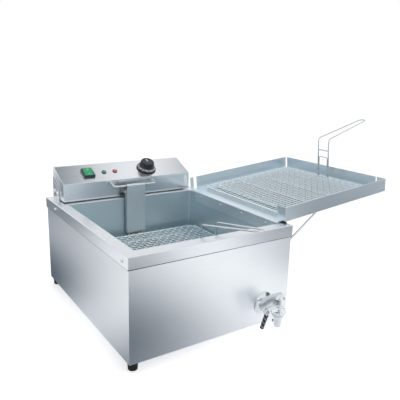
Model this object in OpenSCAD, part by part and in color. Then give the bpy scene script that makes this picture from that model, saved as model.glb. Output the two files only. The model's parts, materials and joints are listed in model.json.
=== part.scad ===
// Countertop donut fryer. An oil tank hangs in a folded steel casing under a deck with a skirt.
// A control head with two heating elements tilts up on two quadrant plates, a drain tray hooks
// over the right rim on a folding wire prop, and two equal wire baskets lie in tank and tray.
// The origin is the centre of the casing on the counter, X to the right, Y to the back, Z up.

/* [Casing] */
// Width of the casing
body_w = 415; // [395:1:450]
// Depth of the casing
body_d = 509; // [500:1:540]
// Height of the rim above the counter
rim_top = 249; // [245:1:270]
// Sheet thickness of casing, rear panel, base pan and control head
sheet = 1.2; // [0.8:0.1:1.6]
// Width of the folded flanges that hold the rear panel
rear_flange = 16; // [13:1:24]
// Height of the turned-up edge of the base pan
pan_lip = 12; // [6:1:20]

/* [Feet] */
// Height of a rubber foot
foot_h = 19; // [16:1:24]
// Diameter of a rubber foot
foot_d = 22; // [18:1:26]
// Distance of a foot's axis from the casing's outer faces
foot_inset = 14; // [13:1:28]
// Thread diameter of a foot screw
foot_screw_d = 5; // [4:0.5:6]

/* [Top surround] */
// Sheet thickness of the deck and its skirt
deck_sheet = 1.5; // [1:0.1:2]
// Gap between casing and skirt
skirt_gap = 1; // [0.6:0.1:2]
// Height of the skirt
skirt_h = 27; // [22:1:34]
// Width of the rim on each side of the tank
rim_side = 26.5; // [24:0.5:32]
// Width of the rim in front of the tank
rim_front = 27; // [22:0.5:32]
// Depth of the deck behind the tank
rear_deck = 107.5; // [104:0.5:114]
// Diameter of a sheet-metal screw's head
screw_head_d = 7; // [6:0.5:8]
// Height of a sheet-metal screw's head
screw_head_h = 2.2; // [1.5:0.1:3]
// Shank diameter of a sheet-metal screw
screw_d = 3.5; // [3:0.1:4]

/* [Oil tank] */
// Depth of the tank below the rim
tank_depth = 195; // [188:1:196]
// Wall thickness of the tank
tank_wall = 1.2; // [1:0.1:2]
// Radius of the tank's upright corners
tank_corner_r = 5; // [3:0.5:10]
// Width of the tank's flange under the deck
tank_flange = 12; // [8:1:16]

/* [Control head] */
// Width of the head
head_w = 378; // [340:1:384]
// Depth of the head
head_d = 83; // [80:1:86]
// Gap under the head
head_gap = 2.6; // [2.4:0.1:4]
// Gap between the head's back and the deck's rear edge
head_setback = 7; // [5:0.5:12]
// Height of the head's front face
head_front_h = 46.5; // [44:0.5:54]
// Length of the sloping control panel
panel_len = 80; // [78:0.5:82]
// Slope of the control panel
panel_tilt = 24.6; // [20:0.2:28]
// Bevel along the head's lower rear edge
head_bevel = 10; // [8:0.5:12]

/* [Tilt hinge] */
// Height of the pivot above the head's underside
pivot_h = 16; // [14:0.5:20]
// Distance of the pivot from the head's back
pivot_in = 10; // [9:0.5:12]
// Radius of the guide slot round the pivot
slot_r = 31; // [26:0.5:34]
// Width of plate left outside the guide slot
slot_land = 4.5; // [3.5:0.5:8]
// Thickness of a quadrant plate
quad_t = 1.6; // [1.2:0.1:1.8]
// Length of a quadrant plate's foot under the head
quad_foot = 26; // [18:1:40]
// Bolt diameter of the hinge
hinge_bolt_d = 6; // [5:0.5:8]
// Gap between head and quadrant plate
hinge_gap = 0.6; // [0.4:0.1:1]
// Tilt at the end of the slot
tilt_max = 85; // [60:1:88]

/* [Controls] */
// Place of the controls along the panel's slope
control_row = 39; // [36:0.5:42]
// Place of the rocker switch
switch_x = -110; // [-130:1:-95]
// Width of the switch bezel
switch_w = 30; // [26:0.5:32]
// Length of the switch bezel along the slope
switch_l = 35; // [32:0.5:40]
// Place of the green pilot lamp
green_x = -64; // [-74:1:-60]
// Place of the amber pilot lamp
amber_x = -32; // [-40:1:-20]
// Lens diameter of a pilot lamp
lens_d = 11; // [8:0.5:12]
// Place of the thermostat knob
knob_x = 65; // [55:1:110]
// Skirt diameter of the knob
knob_d = 56; // [46:1:58]
// Grip diameter of the knob
knob_grip_d = 40; // [28:1:42]
// Height of the knob
knob_h = 25; // [20:1:30]
// Spindle diameter of the thermostat
spindle_d = 6; // [5:0.5:7]

/* [Heating elements] */
// Tube diameter of an element
element_d = 8; // [7:0.25:8.5]
// Distance between an element's two legs
leg_pitch = 11; // [10.5:0.25:12]
// Distance of the inner legs from the middle
leg_inner = 10; // [9:0.5:10.5]
// Distance of the legs from the tank's rear wall
leg_wall_gap = 8.5; // [7:0.5:9]
// Half width of the element loops
loop_half_w = 130; // [120:1:140]
// Reach of the loops in front of the legs
loop_front = 306; // [280:1:316]
// Distance of the loops' rear turns from the legs
loop_rear = 29; // [24:1:40]
// Bend radius of the legs
leg_bend = 14; // [12:0.5:14]
// Depth of the loops below the rim
element_depth = 110; // [104:1:116]
// Height of the legs above the head's underside
leg_h = 10.5; // [9:0.5:14]

/* [Hanger bar and element guard] */
// Diameter of the hanger bar
hanger_d = 6; // [5:0.5:7]
// Distance between the bar's legs
hanger_w = 122; // [100:1:150]
// Length of the bar's legs
hanger_reach = 30; // [28:0.5:34]
// Downward slope of the bar's legs
hanger_drop = 17; // [10:1:22]
// Width of the element guard
guard_w = 56; // [54:0.5:66]
// Sheet thickness of the guard
guard_t = 1.5; // [1:0.1:2]
// Depth of the guard's side flanges
guard_side = 12; // [9:0.5:13]
// Depth of the guard's lower edge below the rim
guard_depth = 97; // [90:1:99]

/* [Drain tap] */
// Place of the tap across the front
tap_x = 135; // [90:1:140]
// Height of the drain nipple's axis above the counter
tap_z = 69.5; // [68.5:0.5:76]
// Outside diameter of the drain nipple
nipple_d = 27; // [25:0.5:28]
// Bore of the drain nipple
nipple_bore = 20; // [16:0.5:22]
// Diameter of the tap's wall flange
flange_d = 55; // [48:1:60]
// Thickness of the tap's wall flange
flange_t = 8; // [6:0.5:10]
// Distance of the barrel's axis from the casing
barrel_reach = 51; // [48:1:64]
// Rise of the tap's neck from the nipple to the barrel's middle
neck_rise = 10.5; // [0:0.5:12]
// Diameter of the barrel
barrel_d = 28; // [27:0.5:32]
// Height of the bonnet above the barrel
bonnet_h = 22; // [18:0.5:26]
// Length of the spout under the barrel
spout_len = 27; // [18:0.5:30]
// Flow bore of tap and spout
flow_d = 13; // [10:0.5:14]
// Length of the lever from its axis
lever_len = 52; // [44:1:56]
// Lean of the closed lever towards the casing
lever_lean = 18; // [0:1:20]

/* [Drain tray] */
// Length of the tray away from the tank
tray_len = 363; // [350:1:400]
// Width of the tray
tray_wid = 389; // [382:1:392]
// Height of the tray's walls
tray_h = 34; // [26:1:40]
// Sheet thickness of the tray
tray_t = 1.2; // [0.8:0.1:1.6]
// Slope of the tray down to the tank
tray_slope = 5.6; // [4:0.1:7]
// Distance of the tray's front wall behind the rim's front edge
tray_front = 17.5; // [15:0.5:22]
// Distance from the rim's outer edge back to the tray's end walls
tray_in = 8.5; // [5:0.5:12]
// Length of the front wall's folded end tabs
tray_tab = 28; // [20:1:34]
// Width of the slits at the tray's open corners
tray_slit = 7; // [4:0.5:10]
// Depth of the hook inside the tank
hook_depth = 26; // [20:1:34]
// Thickness of the hook
hook_t = 2; // [1.5:0.1:2.5]
// Depth of the tray's drip edge over the hook
drip_depth = 14; // [12:0.5:18]

/* [Tray prop] */
// Wire diameter of the prop
prop_d = 5; // [4:0.5:6]
// Depth of the prop's hinge below the rim
prop_depth = 62; // [56:1:75]
// Distance of the prop's bar from the tray's end tabs
prop_reach = 117; // [100:1:130]
// Distance between the prop's legs
prop_w = 363; // [330:1:366]
// Bend radius of the prop's wire
prop_bend = 8; // [7:0.5:10]
// Width of a hinge saddle
saddle_w = 12; // [10:0.5:14]

/* [Wire baskets] */
// Width of a basket
basket_w = 330; // [310:1:332]
// Depth of a basket
basket_d = 324; // [310:1:326]
// Diameter of the frame rods
rod_d = 5; // [4:0.25:5.5]
// Corner radius of the frame
basket_corner_r = 14; // [10:1:20]
// Gaps of the net along each side
net_gaps = 17; // [9:2:17]
// Thickness of the net
net_t = 1.6; // [1.2:0.1:2]
// Width of a net strand
net_strand = 2.4; // [2:0.1:3]
// Wire diameter of a handle
handle_d = 4; // [3.5:0.1:4.5]
// Distance between a handle's legs
handle_gap = 39; // [34:1:44]
// Distance between the wires at a handle's tip
tip_gap = 22; // [20:1:28]
// Height of a handle's bend above the basket's base
handle_h = 124; // [116:1:130]
// Length of a handle's grip
grip_len = 160; // [120:1:180]
// Upward slope of a handle's grip
grip_rise = 11; // [4:0.5:14]
// Height of a handle's upper tie
tie_h = 88; // [80:1:92]
// Height of a handle's lower tie
inner_h = 68; // [56:1:72]
// Place of the tank basket across the tank
tank_basket_x = 12; // [0:0.5:13]
// Gap between the tank basket and the tank's front wall
tank_basket_front = 25; // [24:0.5:30]
// Gap between the tray basket and the tray's end tabs
tray_basket_gap = 14; // [8:1:16]

/* [Hidden] */
$fn = 64;

// Clearance of pieces that sit in one another, and of pieces that turn in one another
fit = 0.1;
run = 0.1;
// Gaps of a loose piece over what carries it, and of the tray on the rim and the prop
rest = 0.3;
seat = 0.05;
// How far a cut runs past the face that it starts from
past = 1;
steel = "Silver";
chrome = "LightSteelBlue";
dark = "DimGray";
black = "Black";

// Casing, deck and tank
rim_w = body_w + 2 * (skirt_gap + deck_sheet);
rim_d = body_d + 2 * (skirt_gap + deck_sheet);
deck_under = rim_top - deck_sheet;
open_x = rim_w / 2 - rim_side;
open_front = rim_front - rim_d / 2;
open_back = rim_d / 2 - rear_deck;
tank_floor = rim_top - tank_depth;
foot_x = body_w / 2 - foot_inset;
foot_y = body_d / 2 - foot_inset;
foot_flange = foot_inset + foot_d / 2;
foot_recess_d = foot_screw_d * 2.2;
foot_recess_h = foot_h * 0.4;
foot_head_h = foot_screw_d * 0.7;
foot_nut_h = foot_screw_d * 0.8;
pan_top = foot_h + 2 * sheet;
skirt_screw_z = rim_top - skirt_h * 0.54;
skirt_screw_front = 25;
skirt_screw_rear = 80;
skirt_screw_ys = [skirt_screw_front - rim_d / 2, rim_d / 2 - skirt_screw_rear];
panel_screw_up = 25;
panel_screw_down = 10;
panel_screw_zs = [foot_h + panel_screw_up, (foot_h + deck_under) / 2,
                  deck_under - skirt_h - panel_screw_down];
screw_end = 3;
panel_screw_x = body_w / 2 - sheet - rear_flange / 2;

// Control head
head_z = rim_top + head_gap;
head_back = rim_d / 2 - head_setback;
head_y = head_back - head_d;
panel_z = head_z + head_front_h;
ridge_y = head_y + panel_len * cos(panel_tilt);
ridge_z = panel_z + panel_len * sin(panel_tilt);
cover_flange = 12;
cover_flange_up = 4;
cover_flange_z = head_z + head_bevel + cover_flange_up;
cover_screw_up = 14;
cover_screw_down = 16;
cover_screw_zs = [head_z + head_bevel + cover_screw_up, ridge_z - cover_screw_down];
cover_screw_x = head_w / 2 - sheet - cover_flange / 2;
pivot_y = head_back - pivot_in;
pivot_z = head_z + pivot_h;
quad_x = head_w / 2 + hinge_gap;
bolt_hole_d = hinge_bolt_d + 2 * run;
slot_play = 0.4;
slot_w = hinge_bolt_d + 2 * slot_play;
quad_r = slot_r + slot_w / 2 + slot_land;
quad_back = pivot_in;
bolt_head_d = hinge_bolt_d * 1.75;
bolt_head_h = hinge_bolt_d * 0.6;
nut_h = hinge_bolt_d * 0.8;
gland_d = 16;
gland_hex = 24;
gland_bore = 9;
gland_in = 10;
gland_out = 20;
gland_nut = 4;
gland_drop = 20;

// Controls on the panel
bezel_h = 6;
bezel_rim = 2.2;
switch_depth = 26;
switch_step = 1.5;
switch_cut = [switch_w - switch_step, switch_l - switch_step];
rock_r = (switch_l - 2 * bezel_rim) / 2 - rest;
rock_w = switch_w - 2 * bezel_rim - 2 * rest;
rock_pivot = 2.5;
rock_tilt = 10;
rock_under = 3;
rock_end = 6;
rock_waist = 4.2;
trunnion_d = 3;
trunnion_len = 1.6;
lamp_rim = 1.2;
lamp_h = 1.8;
lens_h = 2.4;
lamp_depth = 24;
knob_lift = 1;
thermostat_size = [44, 40, 30];
bush_wall = 2;
bush_d = spindle_d + 2 * bush_wall;
bush_h = 4;
spindle_in = 14;
spindle_out = 14;
gear_in = 34;
gear_y = pivot_y - gear_in;

// Heating elements
leg_y = open_back - leg_wall_gap;
leg_z = head_z + leg_h;
leg_end = 16;
loop_z = rim_top - element_depth;
loop_outer_r = (loop_half_w - leg_inner) / 2;
loop_inner_r = (loop_outer_r - leg_pitch / 2) / 2;
loop_turn_y = leg_y - loop_front + loop_outer_r;
loop_long = leg_y - leg_bend - loop_turn_y;
loop_short = leg_y - loop_rear - loop_inner_r - loop_turn_y;
leg_drop = leg_z - loop_z - 2 * leg_bend;
leg_xs = [-leg_inner - leg_pitch, -leg_inner, leg_inner, leg_inner + leg_pitch];
plate_t = 2;
capillary_d = 2;
bulb_d = 6;
bulb_len = 80;
bulb_up = 12;
terminal_d = 3;
terminal_len = 10;
brace_w = 12;
brace_t = 1.5;
brace_in = 30;
brace_pitch = 110;
brace_ys = [loop_turn_y + brace_in, loop_turn_y + brace_in + brace_pitch];

// Hanger bar and guard
hanger_down = 4.5;
hanger_z = panel_z - hanger_down;
rail_y = head_y - hanger_reach * cos(hanger_drop);
rail_z = hanger_z - hanger_reach * sin(hanger_drop);
hanger_root = 10;
hanger_bend = 8;
curl_gap = 0.2;
curl_in = hanger_d / 2 + curl_gap;
curl_out = curl_in + guard_t;
guard_bottom = rim_top - guard_depth;

// Drain tap
tap_y = -body_d / 2;
nipple_nut_h = 8;
socket_wall = 3;
socket_d = nipple_d + 2 * socket_wall;
socket_len = 18;
neck_in = 8;
barrel_y = tap_y - barrel_reach;
barrel_up = 14;
barrel_down = 18;
barrel_wall = 3;
ball_d = barrel_d - 2 * barrel_wall;
stem_d = 8;
stem_in = 3;
stem_boss = 14;
spout_wall = 3.5;
spout_taper = 3;
hub_d = 16;
hub_t = 6;
hub_x = tap_x - barrel_d / 2 - stem_boss - rest - hub_t;
lever_rod_d = 5;
sleeve_d = 10;
sleeve_start = 12;
sleeve_end = 2;
stem_tail = 8;
tail_d = 5;
flange_edge = 1.5;
bonnet_seam = 1.6;
bonnet_dome = 11;

// Drain tray, with its floor's top face at height 0 in its own sloping frame
tray_x = rim_w / 2 - tray_in;
tray_y = tray_front - rim_d / 2;
hook_gap = 0.6;
hook_x = open_x - hook_gap - hook_t;
tray_z = rim_top + seat + (tray_t + hook_t) / cos(tray_slope) + (tray_x - open_x) * tan(tray_slope);
lip_a = (hook_x - tray_t - tray_x) / cos(tray_slope);
lip_front = 12;
lip_end = 34;
lip_back = tray_wid - lip_end;
ear_in = 5;
ear_w = 11;
hook_on_rim = 24;
rivet_d = 5;
rivet_h = 1.2;
rivet_in = 33;
rivets = 4;
rivet_pitch = (lip_back - lip_front - 2 * rivet_in) / (rivets - 1);
rivet_ys = [for (i = [0:rivets - 1]) tray_y + lip_front + rivet_in + i * rivet_pitch];

// Tray prop
saddle_wall = 2.5;
saddle_gap = 0.5;
saddle_r = prop_d / 2 + saddle_wall;
prop_x = body_w / 2 + saddle_r + saddle_gap;
prop_y = tray_y + tray_wid / 2;
prop_z = rim_top - prop_depth;
bar_h = tray_t + prop_d / 2 + rest;
prop_dx = tray_x + prop_reach * cos(tray_slope) + bar_h * sin(tray_slope) - prop_x;
prop_dz = tray_z + prop_reach * sin(tray_slope) - bar_h * cos(tray_slope) - prop_z;
prop_len = norm([prop_dx, prop_dz]);
prop_lean = atan2(prop_dx, prop_dz);
pin_end = 3;
pin_len = saddle_w + pin_end;
saddle_in = 1;
saddle_y = prop_w / 2 - prop_bend - saddle_in - saddle_w / 2;
saddle_half = 16;
saddle_t = 1.5;
saddle_hole = 11.5;
catch_t = 1.6;
catch_w = 20;
catch_y = 120;
catch_up = 20;
catch_down = 3;

// Baskets
low_rod_z = rod_d / 2;
rim_rod_z = low_rod_z + rod_d * 0.88;
net_z = rim_rod_z + rod_d / 2;
leg_line = -basket_d / 2 + rod_d + handle_d / 2 + fit;
tie_d = handle_d - 0.5;
inner_d = tie_d - 0.5;
leg_foot = rim_rod_z - handle_d / 2;
handle_bend = 10;
tip_bend = 8;
grip_turn = 90 - grip_rise;
grip_span = handle_bend * (1 - cos(grip_turn)) + grip_len * sin(grip_turn);
grip_in = asin((handle_gap - tip_gap) / 2 / grip_span);
tip_turn = acos(sin(grip_in) * sin(grip_turn));
tip_len = tip_gap / 2 - tip_bend * sin(tip_turn);
bead = 0.1;
inner_x = handle_gap / 2 - handle_d / 2 - inner_d / 2 - rest;
inner_bend = 5;
tank_basket_y = open_front + tank_basket_front + basket_d / 2;
tank_basket_z = loop_z + element_d / 2 + rest;

// A box between two corners
module box(low, high) {
    translate(low) cube(high - low);
}

// A round bar along X or Y between two places
module bar_x(x0, x1, d) {
    translate([x0, 0, 0]) rotate([0, 90, 0]) cylinder(h = x1 - x0, d = d);
}
module bar_y(y0, y1, d) {
    translate([0, y0, 0]) rotate([-90, 0, 0]) cylinder(h = y1 - y0, d = d);
}

// A flat outline in Y and Z, drawn out along X about the middle
module across(w) {
    translate([-w / 2, 0, 0]) rotate([90, 0, 90]) linear_extrude(w) children();
}

// A rectangle with round corners about the origin
module round_rect(w, d, r) {
    square([w - 2 * r, d], center = true);
    square([w, d - 2 * r], center = true);
    for (x = [-1, 1], y = [-1, 1])
        translate([x * (w / 2 - r), y * (d / 2 - r)]) circle(r);
}

// A wire grows along Z: go draws a straight stretch, bend turns it towards -Y, rolled about Z
module go(len, d) {
    cylinder(h = len, d = d);
    translate([0, 0, len]) children();
}
module bend(r, angle, roll, d) {
    rotate([0, 0, roll]) {
        translate([0, -r, 0]) rotate([90, 0, 90])
            rotate_extrude(angle = angle) translate([r, 0]) circle(d = d);
        translate([0, -r * (1 - cos(angle)), r * sin(angle)]) rotate([angle, 0, 0]) children();
    }
}

// A weld bead, and a straight stretch with one at each end, where it meets a slanting bend
module weld(d) {
    sphere(d = d + 2 * bead);
}
module welded(len, d) {
    translate([0, 0, bead]) cylinder(h = len - 2 * bead, d = d);
    weld(d);
    translate([0, 0, len]) {
        weld(d);
        children();
    }
}

// A screw with a domed head that stands on Z = 0 and a shank below
module screw(head_d, head_h, d, len) {
    rotate_extrude() polygon([[0, 0], [head_d / 2, 0], [head_d / 2, head_h * 0.4],
                              [head_d * 0.3, head_h], [0, head_h]]);
    translate([0, 0, -len]) cylinder(h = len + head_h / 4, d = d);
}

// A low dome on Z = 0, given its foot radius and height
module dome(r, h) {
    ball_r = (r * r + h * h) / (2 * h);
    intersection() {
        translate([0, 0, h - ball_r]) sphere(ball_r, $fn = 240);
        box([-r - past, -r - past, 0], [r + past, r + past, h + past]);
    }
}

// A six-sided nut on Z = 0 with its hole
module hex_nut(across_corners, h, hole) {
    difference() {
        cylinder(h = h, d = across_corners, $fn = 6);
        translate([0, 0, -past]) cylinder(h = h + 2 * past, d = hole);
    }
}

// Places of the feet, the side screws and the rear panel's screws
module at_feet() {
    for (x = [-foot_x, foot_x], y = [-foot_y, foot_y]) translate([x, y, 0]) children();
}
module at_skirt_screws() {
    for (s = [-1, 1], y = skirt_screw_ys)
        translate([s * rim_w / 2, y, skirt_screw_z]) rotate([0, s * 90, 0]) children();
}
module at_panel_screws() {
    for (x = [-panel_screw_x, panel_screw_x], z = panel_screw_zs)
        translate([x, body_d / 2, z]) rotate([-90, 0, 0]) children();
}
module at_cover_screws() {
    for (x = [-cover_screw_x, cover_screw_x], z = cover_screw_zs)
        translate([x, head_back, z]) rotate([-90, 0, 0]) children();
}
module at_saddles() {
    for (s = [-1, 1]) translate([body_w / 2, prop_y + s * saddle_y, prop_z]) children();
}
module at_saddle_screws() {
    for (z = [-saddle_hole, saddle_hole]) translate([0, 0, z]) rotate([0, 90, 0]) children();
}

// Frames of the control panel, the tilt hinge, the tap, the tray, the prop and the two baskets
module on_panel(x) {
    translate([x, head_y + control_row * cos(panel_tilt), panel_z + control_row * sin(panel_tilt)])
        rotate([panel_tilt, 0, 0]) children();
}
module at_pivot() {
    translate([0, pivot_y, pivot_z]) children();
}
module on_tap() {
    translate([tap_x, barrel_y, tap_z + neck_rise]) children();
}
module on_lever() {
    on_tap() rotate([lever_lean, 0, 0]) children();
}
module in_tray_frame() {
    translate([tray_x, tray_y, tray_z]) rotate([0, -tray_slope, 0]) children();
}
module on_prop() {
    translate([prop_x, prop_y, prop_z]) rotate([0, prop_lean, 0]) children();
}
module in_tank() {
    translate([tank_basket_x, tank_basket_y, tank_basket_z]) children();
}
module in_tray() {
    in_tray_frame() translate([tray_basket_gap + basket_d / 2, tray_wid / 2, rest])
        rotate([0, 0, 90]) children();
}

// Casing: front and sides in one wrap, with flanges for the base pan and the rear panel
module outer_casing() {
    color(steel) difference() {
        union() {
            box([-body_w / 2, -body_d / 2, foot_h], [body_w / 2, sheet - body_d / 2, deck_under]);
            for (s = [0, 1]) mirror([s, 0, 0]) {
                box([body_w / 2 - sheet, -body_d / 2, foot_h], [body_w / 2, body_d / 2, deck_under]);
                box([body_w / 2 - foot_flange, -body_d / 2, foot_h],
                    [body_w / 2, body_d / 2 - sheet, foot_h + sheet]);
                box([body_w / 2 - sheet - rear_flange, body_d / 2 - 2 * sheet, foot_h],
                    [body_w / 2, body_d / 2 - sheet, deck_under]);
            }
            box([-body_w / 2, -body_d / 2, foot_h],
                [body_w / 2, foot_flange - body_d / 2, foot_h + sheet]);
        }
        at_feet() cylinder(h = pan_top + past, d = foot_screw_d + 2 * fit);
        at_skirt_screws() translate([0, 0, -10 * past]) cylinder(h = 20 * past, d = screw_d + 2 * fit);
        at_panel_screws() translate([0, 0, -10 * past]) cylinder(h = 20 * past, d = screw_d + 2 * fit);
        translate([tap_x, 0, tap_z]) bar_y(tap_y - past, tap_y + sheet + past, nipple_d + 2 * fit);
        at_saddles() at_saddle_screws() translate([0, 0, -sheet - past])
            cylinder(h = sheet + 2 * past, d = screw_d + 2 * fit);
    }
}

module rear_panel() {
    color(steel) difference() {
        box([sheet + fit - body_w / 2, body_d / 2 - sheet, foot_h],
            [body_w / 2 - sheet - fit, body_d / 2, deck_under]);
        at_panel_screws() translate([0, 0, -10 * past]) cylinder(h = 20 * past, d = screw_d + 2 * fit);
    }
}

// Base pan on the casing's lower flanges, with its edges turned up
module base_pan() {
    x = body_w / 2 - sheet - fit;
    y0 = sheet + fit - body_d / 2;
    y1 = body_d / 2 - 2 * sheet - fit;
    color(steel) difference() {
        box([-x, y0, foot_h + sheet], [x, y1, pan_top + pan_lip]);
        box([sheet - x, y0 + sheet, pan_top], [x - sheet, y1 - sheet, pan_top + pan_lip + past]);
        at_feet() cylinder(h = pan_top + past, d = foot_screw_d + 2 * fit);
    }
}

// Deck with the tank opening and a skirt all round
module top_surround() {
    color(steel) difference() {
        box([-rim_w / 2, -rim_d / 2, rim_top - skirt_h], [rim_w / 2, rim_d / 2, rim_top]);
        box([deck_sheet - rim_w / 2, deck_sheet - rim_d / 2, rim_top - skirt_h - past],
            [rim_w / 2 - deck_sheet, rim_d / 2 - deck_sheet, deck_under]);
        tank_hole(0, deck_under - past, rim_top + past);
        at_skirt_screws() translate([0, 0, -5 * past]) cylinder(h = 6 * past, d = screw_d + 2 * fit);
    }
}

// The tank's plan, grown by a margin, between two heights
module tank_hole(margin, z0, z1) {
    translate([0, (open_front + open_back) / 2, z0]) linear_extrude(z1 - z0)
        round_rect(2 * (open_x + margin), open_back - open_front + 2 * margin, tank_corner_r + margin);
}

module oil_tank() {
    color("LightSlateGray") difference() {
        union() {
            tank_hole(tank_wall, tank_floor - tank_wall, deck_under);
            tank_hole(tank_flange, deck_under - tank_wall, deck_under);
        }
        tank_hole(0, tank_floor, deck_under + past);
        translate([tap_x, 0, tap_z])
            bar_y(open_front - tank_wall - past, open_front + past, nipple_d + 2 * fit);
    }
}

module rubber_feet() {
    color(black) at_feet() difference() {
        cylinder(h = foot_h, d1 = foot_d * 0.9, d2 = foot_d);
        translate([0, 0, -past]) cylinder(h = foot_recess_h + past, d = foot_recess_d);
        cylinder(h = foot_h + past, d = foot_screw_d + 2 * fit);
    }
}

module foot_screws() {
    color(dark) at_feet() {
        translate([0, 0, foot_recess_h - foot_head_h]) cylinder(h = foot_head_h, d = foot_screw_d * 1.8);
        translate([0, 0, foot_recess_h - past / 2])
            cylinder(h = pan_top + foot_nut_h + past - foot_recess_h, d = foot_screw_d);
    }
}

module foot_nuts() {
    color(dark) at_feet() translate([0, 0, pan_top])
        hex_nut(foot_screw_d * 1.8, foot_nut_h, foot_screw_d + 2 * fit);
}

module surround_screws() {
    color(steel) at_skirt_screws()
        screw(screw_head_d, screw_head_h, screw_d, deck_sheet + skirt_gap + sheet + screw_end);
}

module rear_panel_screws() {
    color(steel) at_panel_screws() screw(screw_head_d, screw_head_h, screw_d, 2 * sheet + screw_end);
}

// Quadrant plates stand on the deck beside the head, with their feet turned in under it
module quadrant_plates() {
    low = rim_top - pivot_z;
    color(steel) for (s = [0, 1]) mirror([s, 0, 0]) {
        at_pivot() translate([quad_x, 0, 0]) rotate([90, 0, 90]) linear_extrude(quad_t) difference() {
            union() {
                intersection() {
                    circle(quad_r);
                    translate([-quad_r, 0]) square([quad_r + quad_back, quad_r]);
                }
                translate([-quad_r, low]) square([quad_r + quad_back, -low]);
            }
            circle(d = bolt_hole_d);
            guide_slot();
        }
        box([quad_x - quad_foot, pivot_y - quad_r, rim_top],
            [quad_x + quad_t, pivot_y + quad_back, rim_top + quad_t]);
    }
}

// Slot round the pivot, from straight in front of it to the end of the tilt
module guide_slot() {
    end = 180 - tilt_max;
    difference() {
        intersection() {
            circle(slot_r + slot_w / 2);
            polygon([[0, 0], [-2 * slot_r, 0], [-2 * slot_r, 2 * slot_r], [0, 2 * slot_r],
                     2 * slot_r * [cos(end), sin(end)]]);
        }
        circle(slot_r - slot_w / 2);
    }
    for (a = [180, end]) translate(slot_r * [cos(a), sin(a)]) circle(d = slot_w);
}

// A hinge bolt from outside the plate, with its nut inside the head
module hinge_bolt(gap_out) {
    outside = quad_x + quad_t + gap_out;
    inside = head_w / 2 - sheet - rest;
    bar_x(outside, outside + bolt_head_h, bolt_head_d);
    bar_x(inside - nut_h - past, outside + bolt_head_h / 2, hinge_bolt_d);
    translate([inside - nut_h, 0, 0]) rotate([0, 90, 0])
        hex_nut(bolt_head_d, nut_h, hinge_bolt_d + 2 * fit);
}

module pivot_bolts() {
    color(dark) for (s = [0, 1]) mirror([s, 0, 0]) at_pivot() hinge_bolt(0);
}

module guide_bolts() {
    color(dark) for (s = [0, 1]) mirror([s, 0, 0]) at_pivot() translate([0, -slot_r, 0]) hinge_bolt(rest);
}

// Head outline in Y and Z, and the hollow that a sheet of the given thickness leaves in it
module head_outline() {
    polygon([[head_y, head_z], [head_y, panel_z], [ridge_y, ridge_z], [head_back, ridge_z],
             [head_back, head_z + head_bevel], [head_back - head_bevel, head_z]]);
}
module head_hollow(t) {
    rise = t / cos(panel_tilt);
    polygon([[head_y + t, head_z - past],
             [head_y + t, panel_z + t * tan(panel_tilt) - rise],
             [ridge_y + (rise - t) / tan(panel_tilt), ridge_z - t],
             [head_back + past, ridge_z - t], [head_back + past, head_z - past]]);
}

// Front, sloping panel, top and sides, with flanges for the back cover
module head_shell() {
    color(steel) difference() {
        union() {
            difference() {
                across(head_w) head_outline();
                across(head_w - 2 * sheet) head_hollow(sheet);
            }
            for (s = [0, 1]) mirror([s, 0, 0])
                box([head_w / 2 - sheet - cover_flange, head_back - 2 * sheet - fit, cover_flange_z],
                    [head_w / 2 - sheet / 2, head_back - sheet - fit, ridge_z - sheet / 2]);
        }
        on_panel(switch_x) cube([switch_cut[0], switch_cut[1], 10 * past], center = true);
        for (x = [green_x, amber_x]) on_panel(x) cylinder(h = 10 * past, d = lens_d, center = true);
        on_panel(knob_x) cylinder(h = 10 * past, d = bush_d + 2 * fit, center = true);
        at_hanger_roots() cylinder(h = hanger_root + hanger_reach / 2, d = hanger_d + 2 * fit);
        for (x = leg_xs) translate([x, 0, leg_z])
            bar_y(head_y - past, head_y + sheet + past, element_d + 2 * fit);
        translate([0, 0, leg_z]) bar_y(head_y - past, head_y + sheet + past, capillary_d + 2 * fit);
        at_pivot() bar_x(-head_w, head_w, bolt_hole_d);
        at_pivot() translate([0, -slot_r, 0]) bar_x(-head_w, head_w, bolt_hole_d);
        at_cover_screws() translate([0, 0, -10 * past]) cylinder(h = 20 * past, d = screw_d + 2 * fit);
    }
}

module head_back_cover() {
    slant = sheet * sqrt(2);
    color(steel) difference() {
        across(head_w - 2 * sheet - 2 * fit)
            polygon([[head_back, ridge_z - sheet - fit], [head_back, head_z + head_bevel],
                     [head_back - head_bevel, head_z], [head_back - head_bevel, head_z + slant],
                     [head_back - sheet, head_z + head_bevel + slant - sheet],
                     [head_back - sheet, ridge_z - sheet - fit]]);
        at_cover_screws() translate([0, 0, -10 * past]) cylinder(h = 20 * past, d = screw_d + 2 * fit);
        at_gland() bar_y(-sheet - past, past, gland_d + 2 * fit);
    }
}

module head_base_plate() {
    color(steel) box([sheet + fit - head_w / 2, head_y + sheet + fit, head_z],
                     [head_w / 2 - sheet - fit, head_back - head_bevel - fit, head_z + sheet]);
}

module back_cover_screws() {
    color(steel) at_cover_screws()
        screw(screw_head_d, screw_head_h, screw_d, 2 * sheet + fit + screw_end);
}

// Cable gland in the back cover, with its lock nut inside
module at_gland() {
    translate([switch_x, head_back, ridge_z - gland_drop]) children();
}
module cable_gland() {
    color(black) at_gland() {
        difference() {
            union() {
                bar_y(-sheet - gland_in, past, gland_d);
                rotate([-90, 0, 0]) cylinder(h = gland_out * 0.3, d = gland_hex, $fn = 6);
                rotate([-90, 0, 0]) cylinder(h = gland_out, d1 = gland_hex * 0.85, d2 = gland_d);
            }
            bar_y(-sheet - gland_in - past, gland_out + past, gland_bore);
        }
        translate([0, -sheet - gland_nut, 0]) rotate([-90, 0, 0])
            hex_nut(gland_hex, gland_nut, gland_d + 2 * fit);
    }
}

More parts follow.
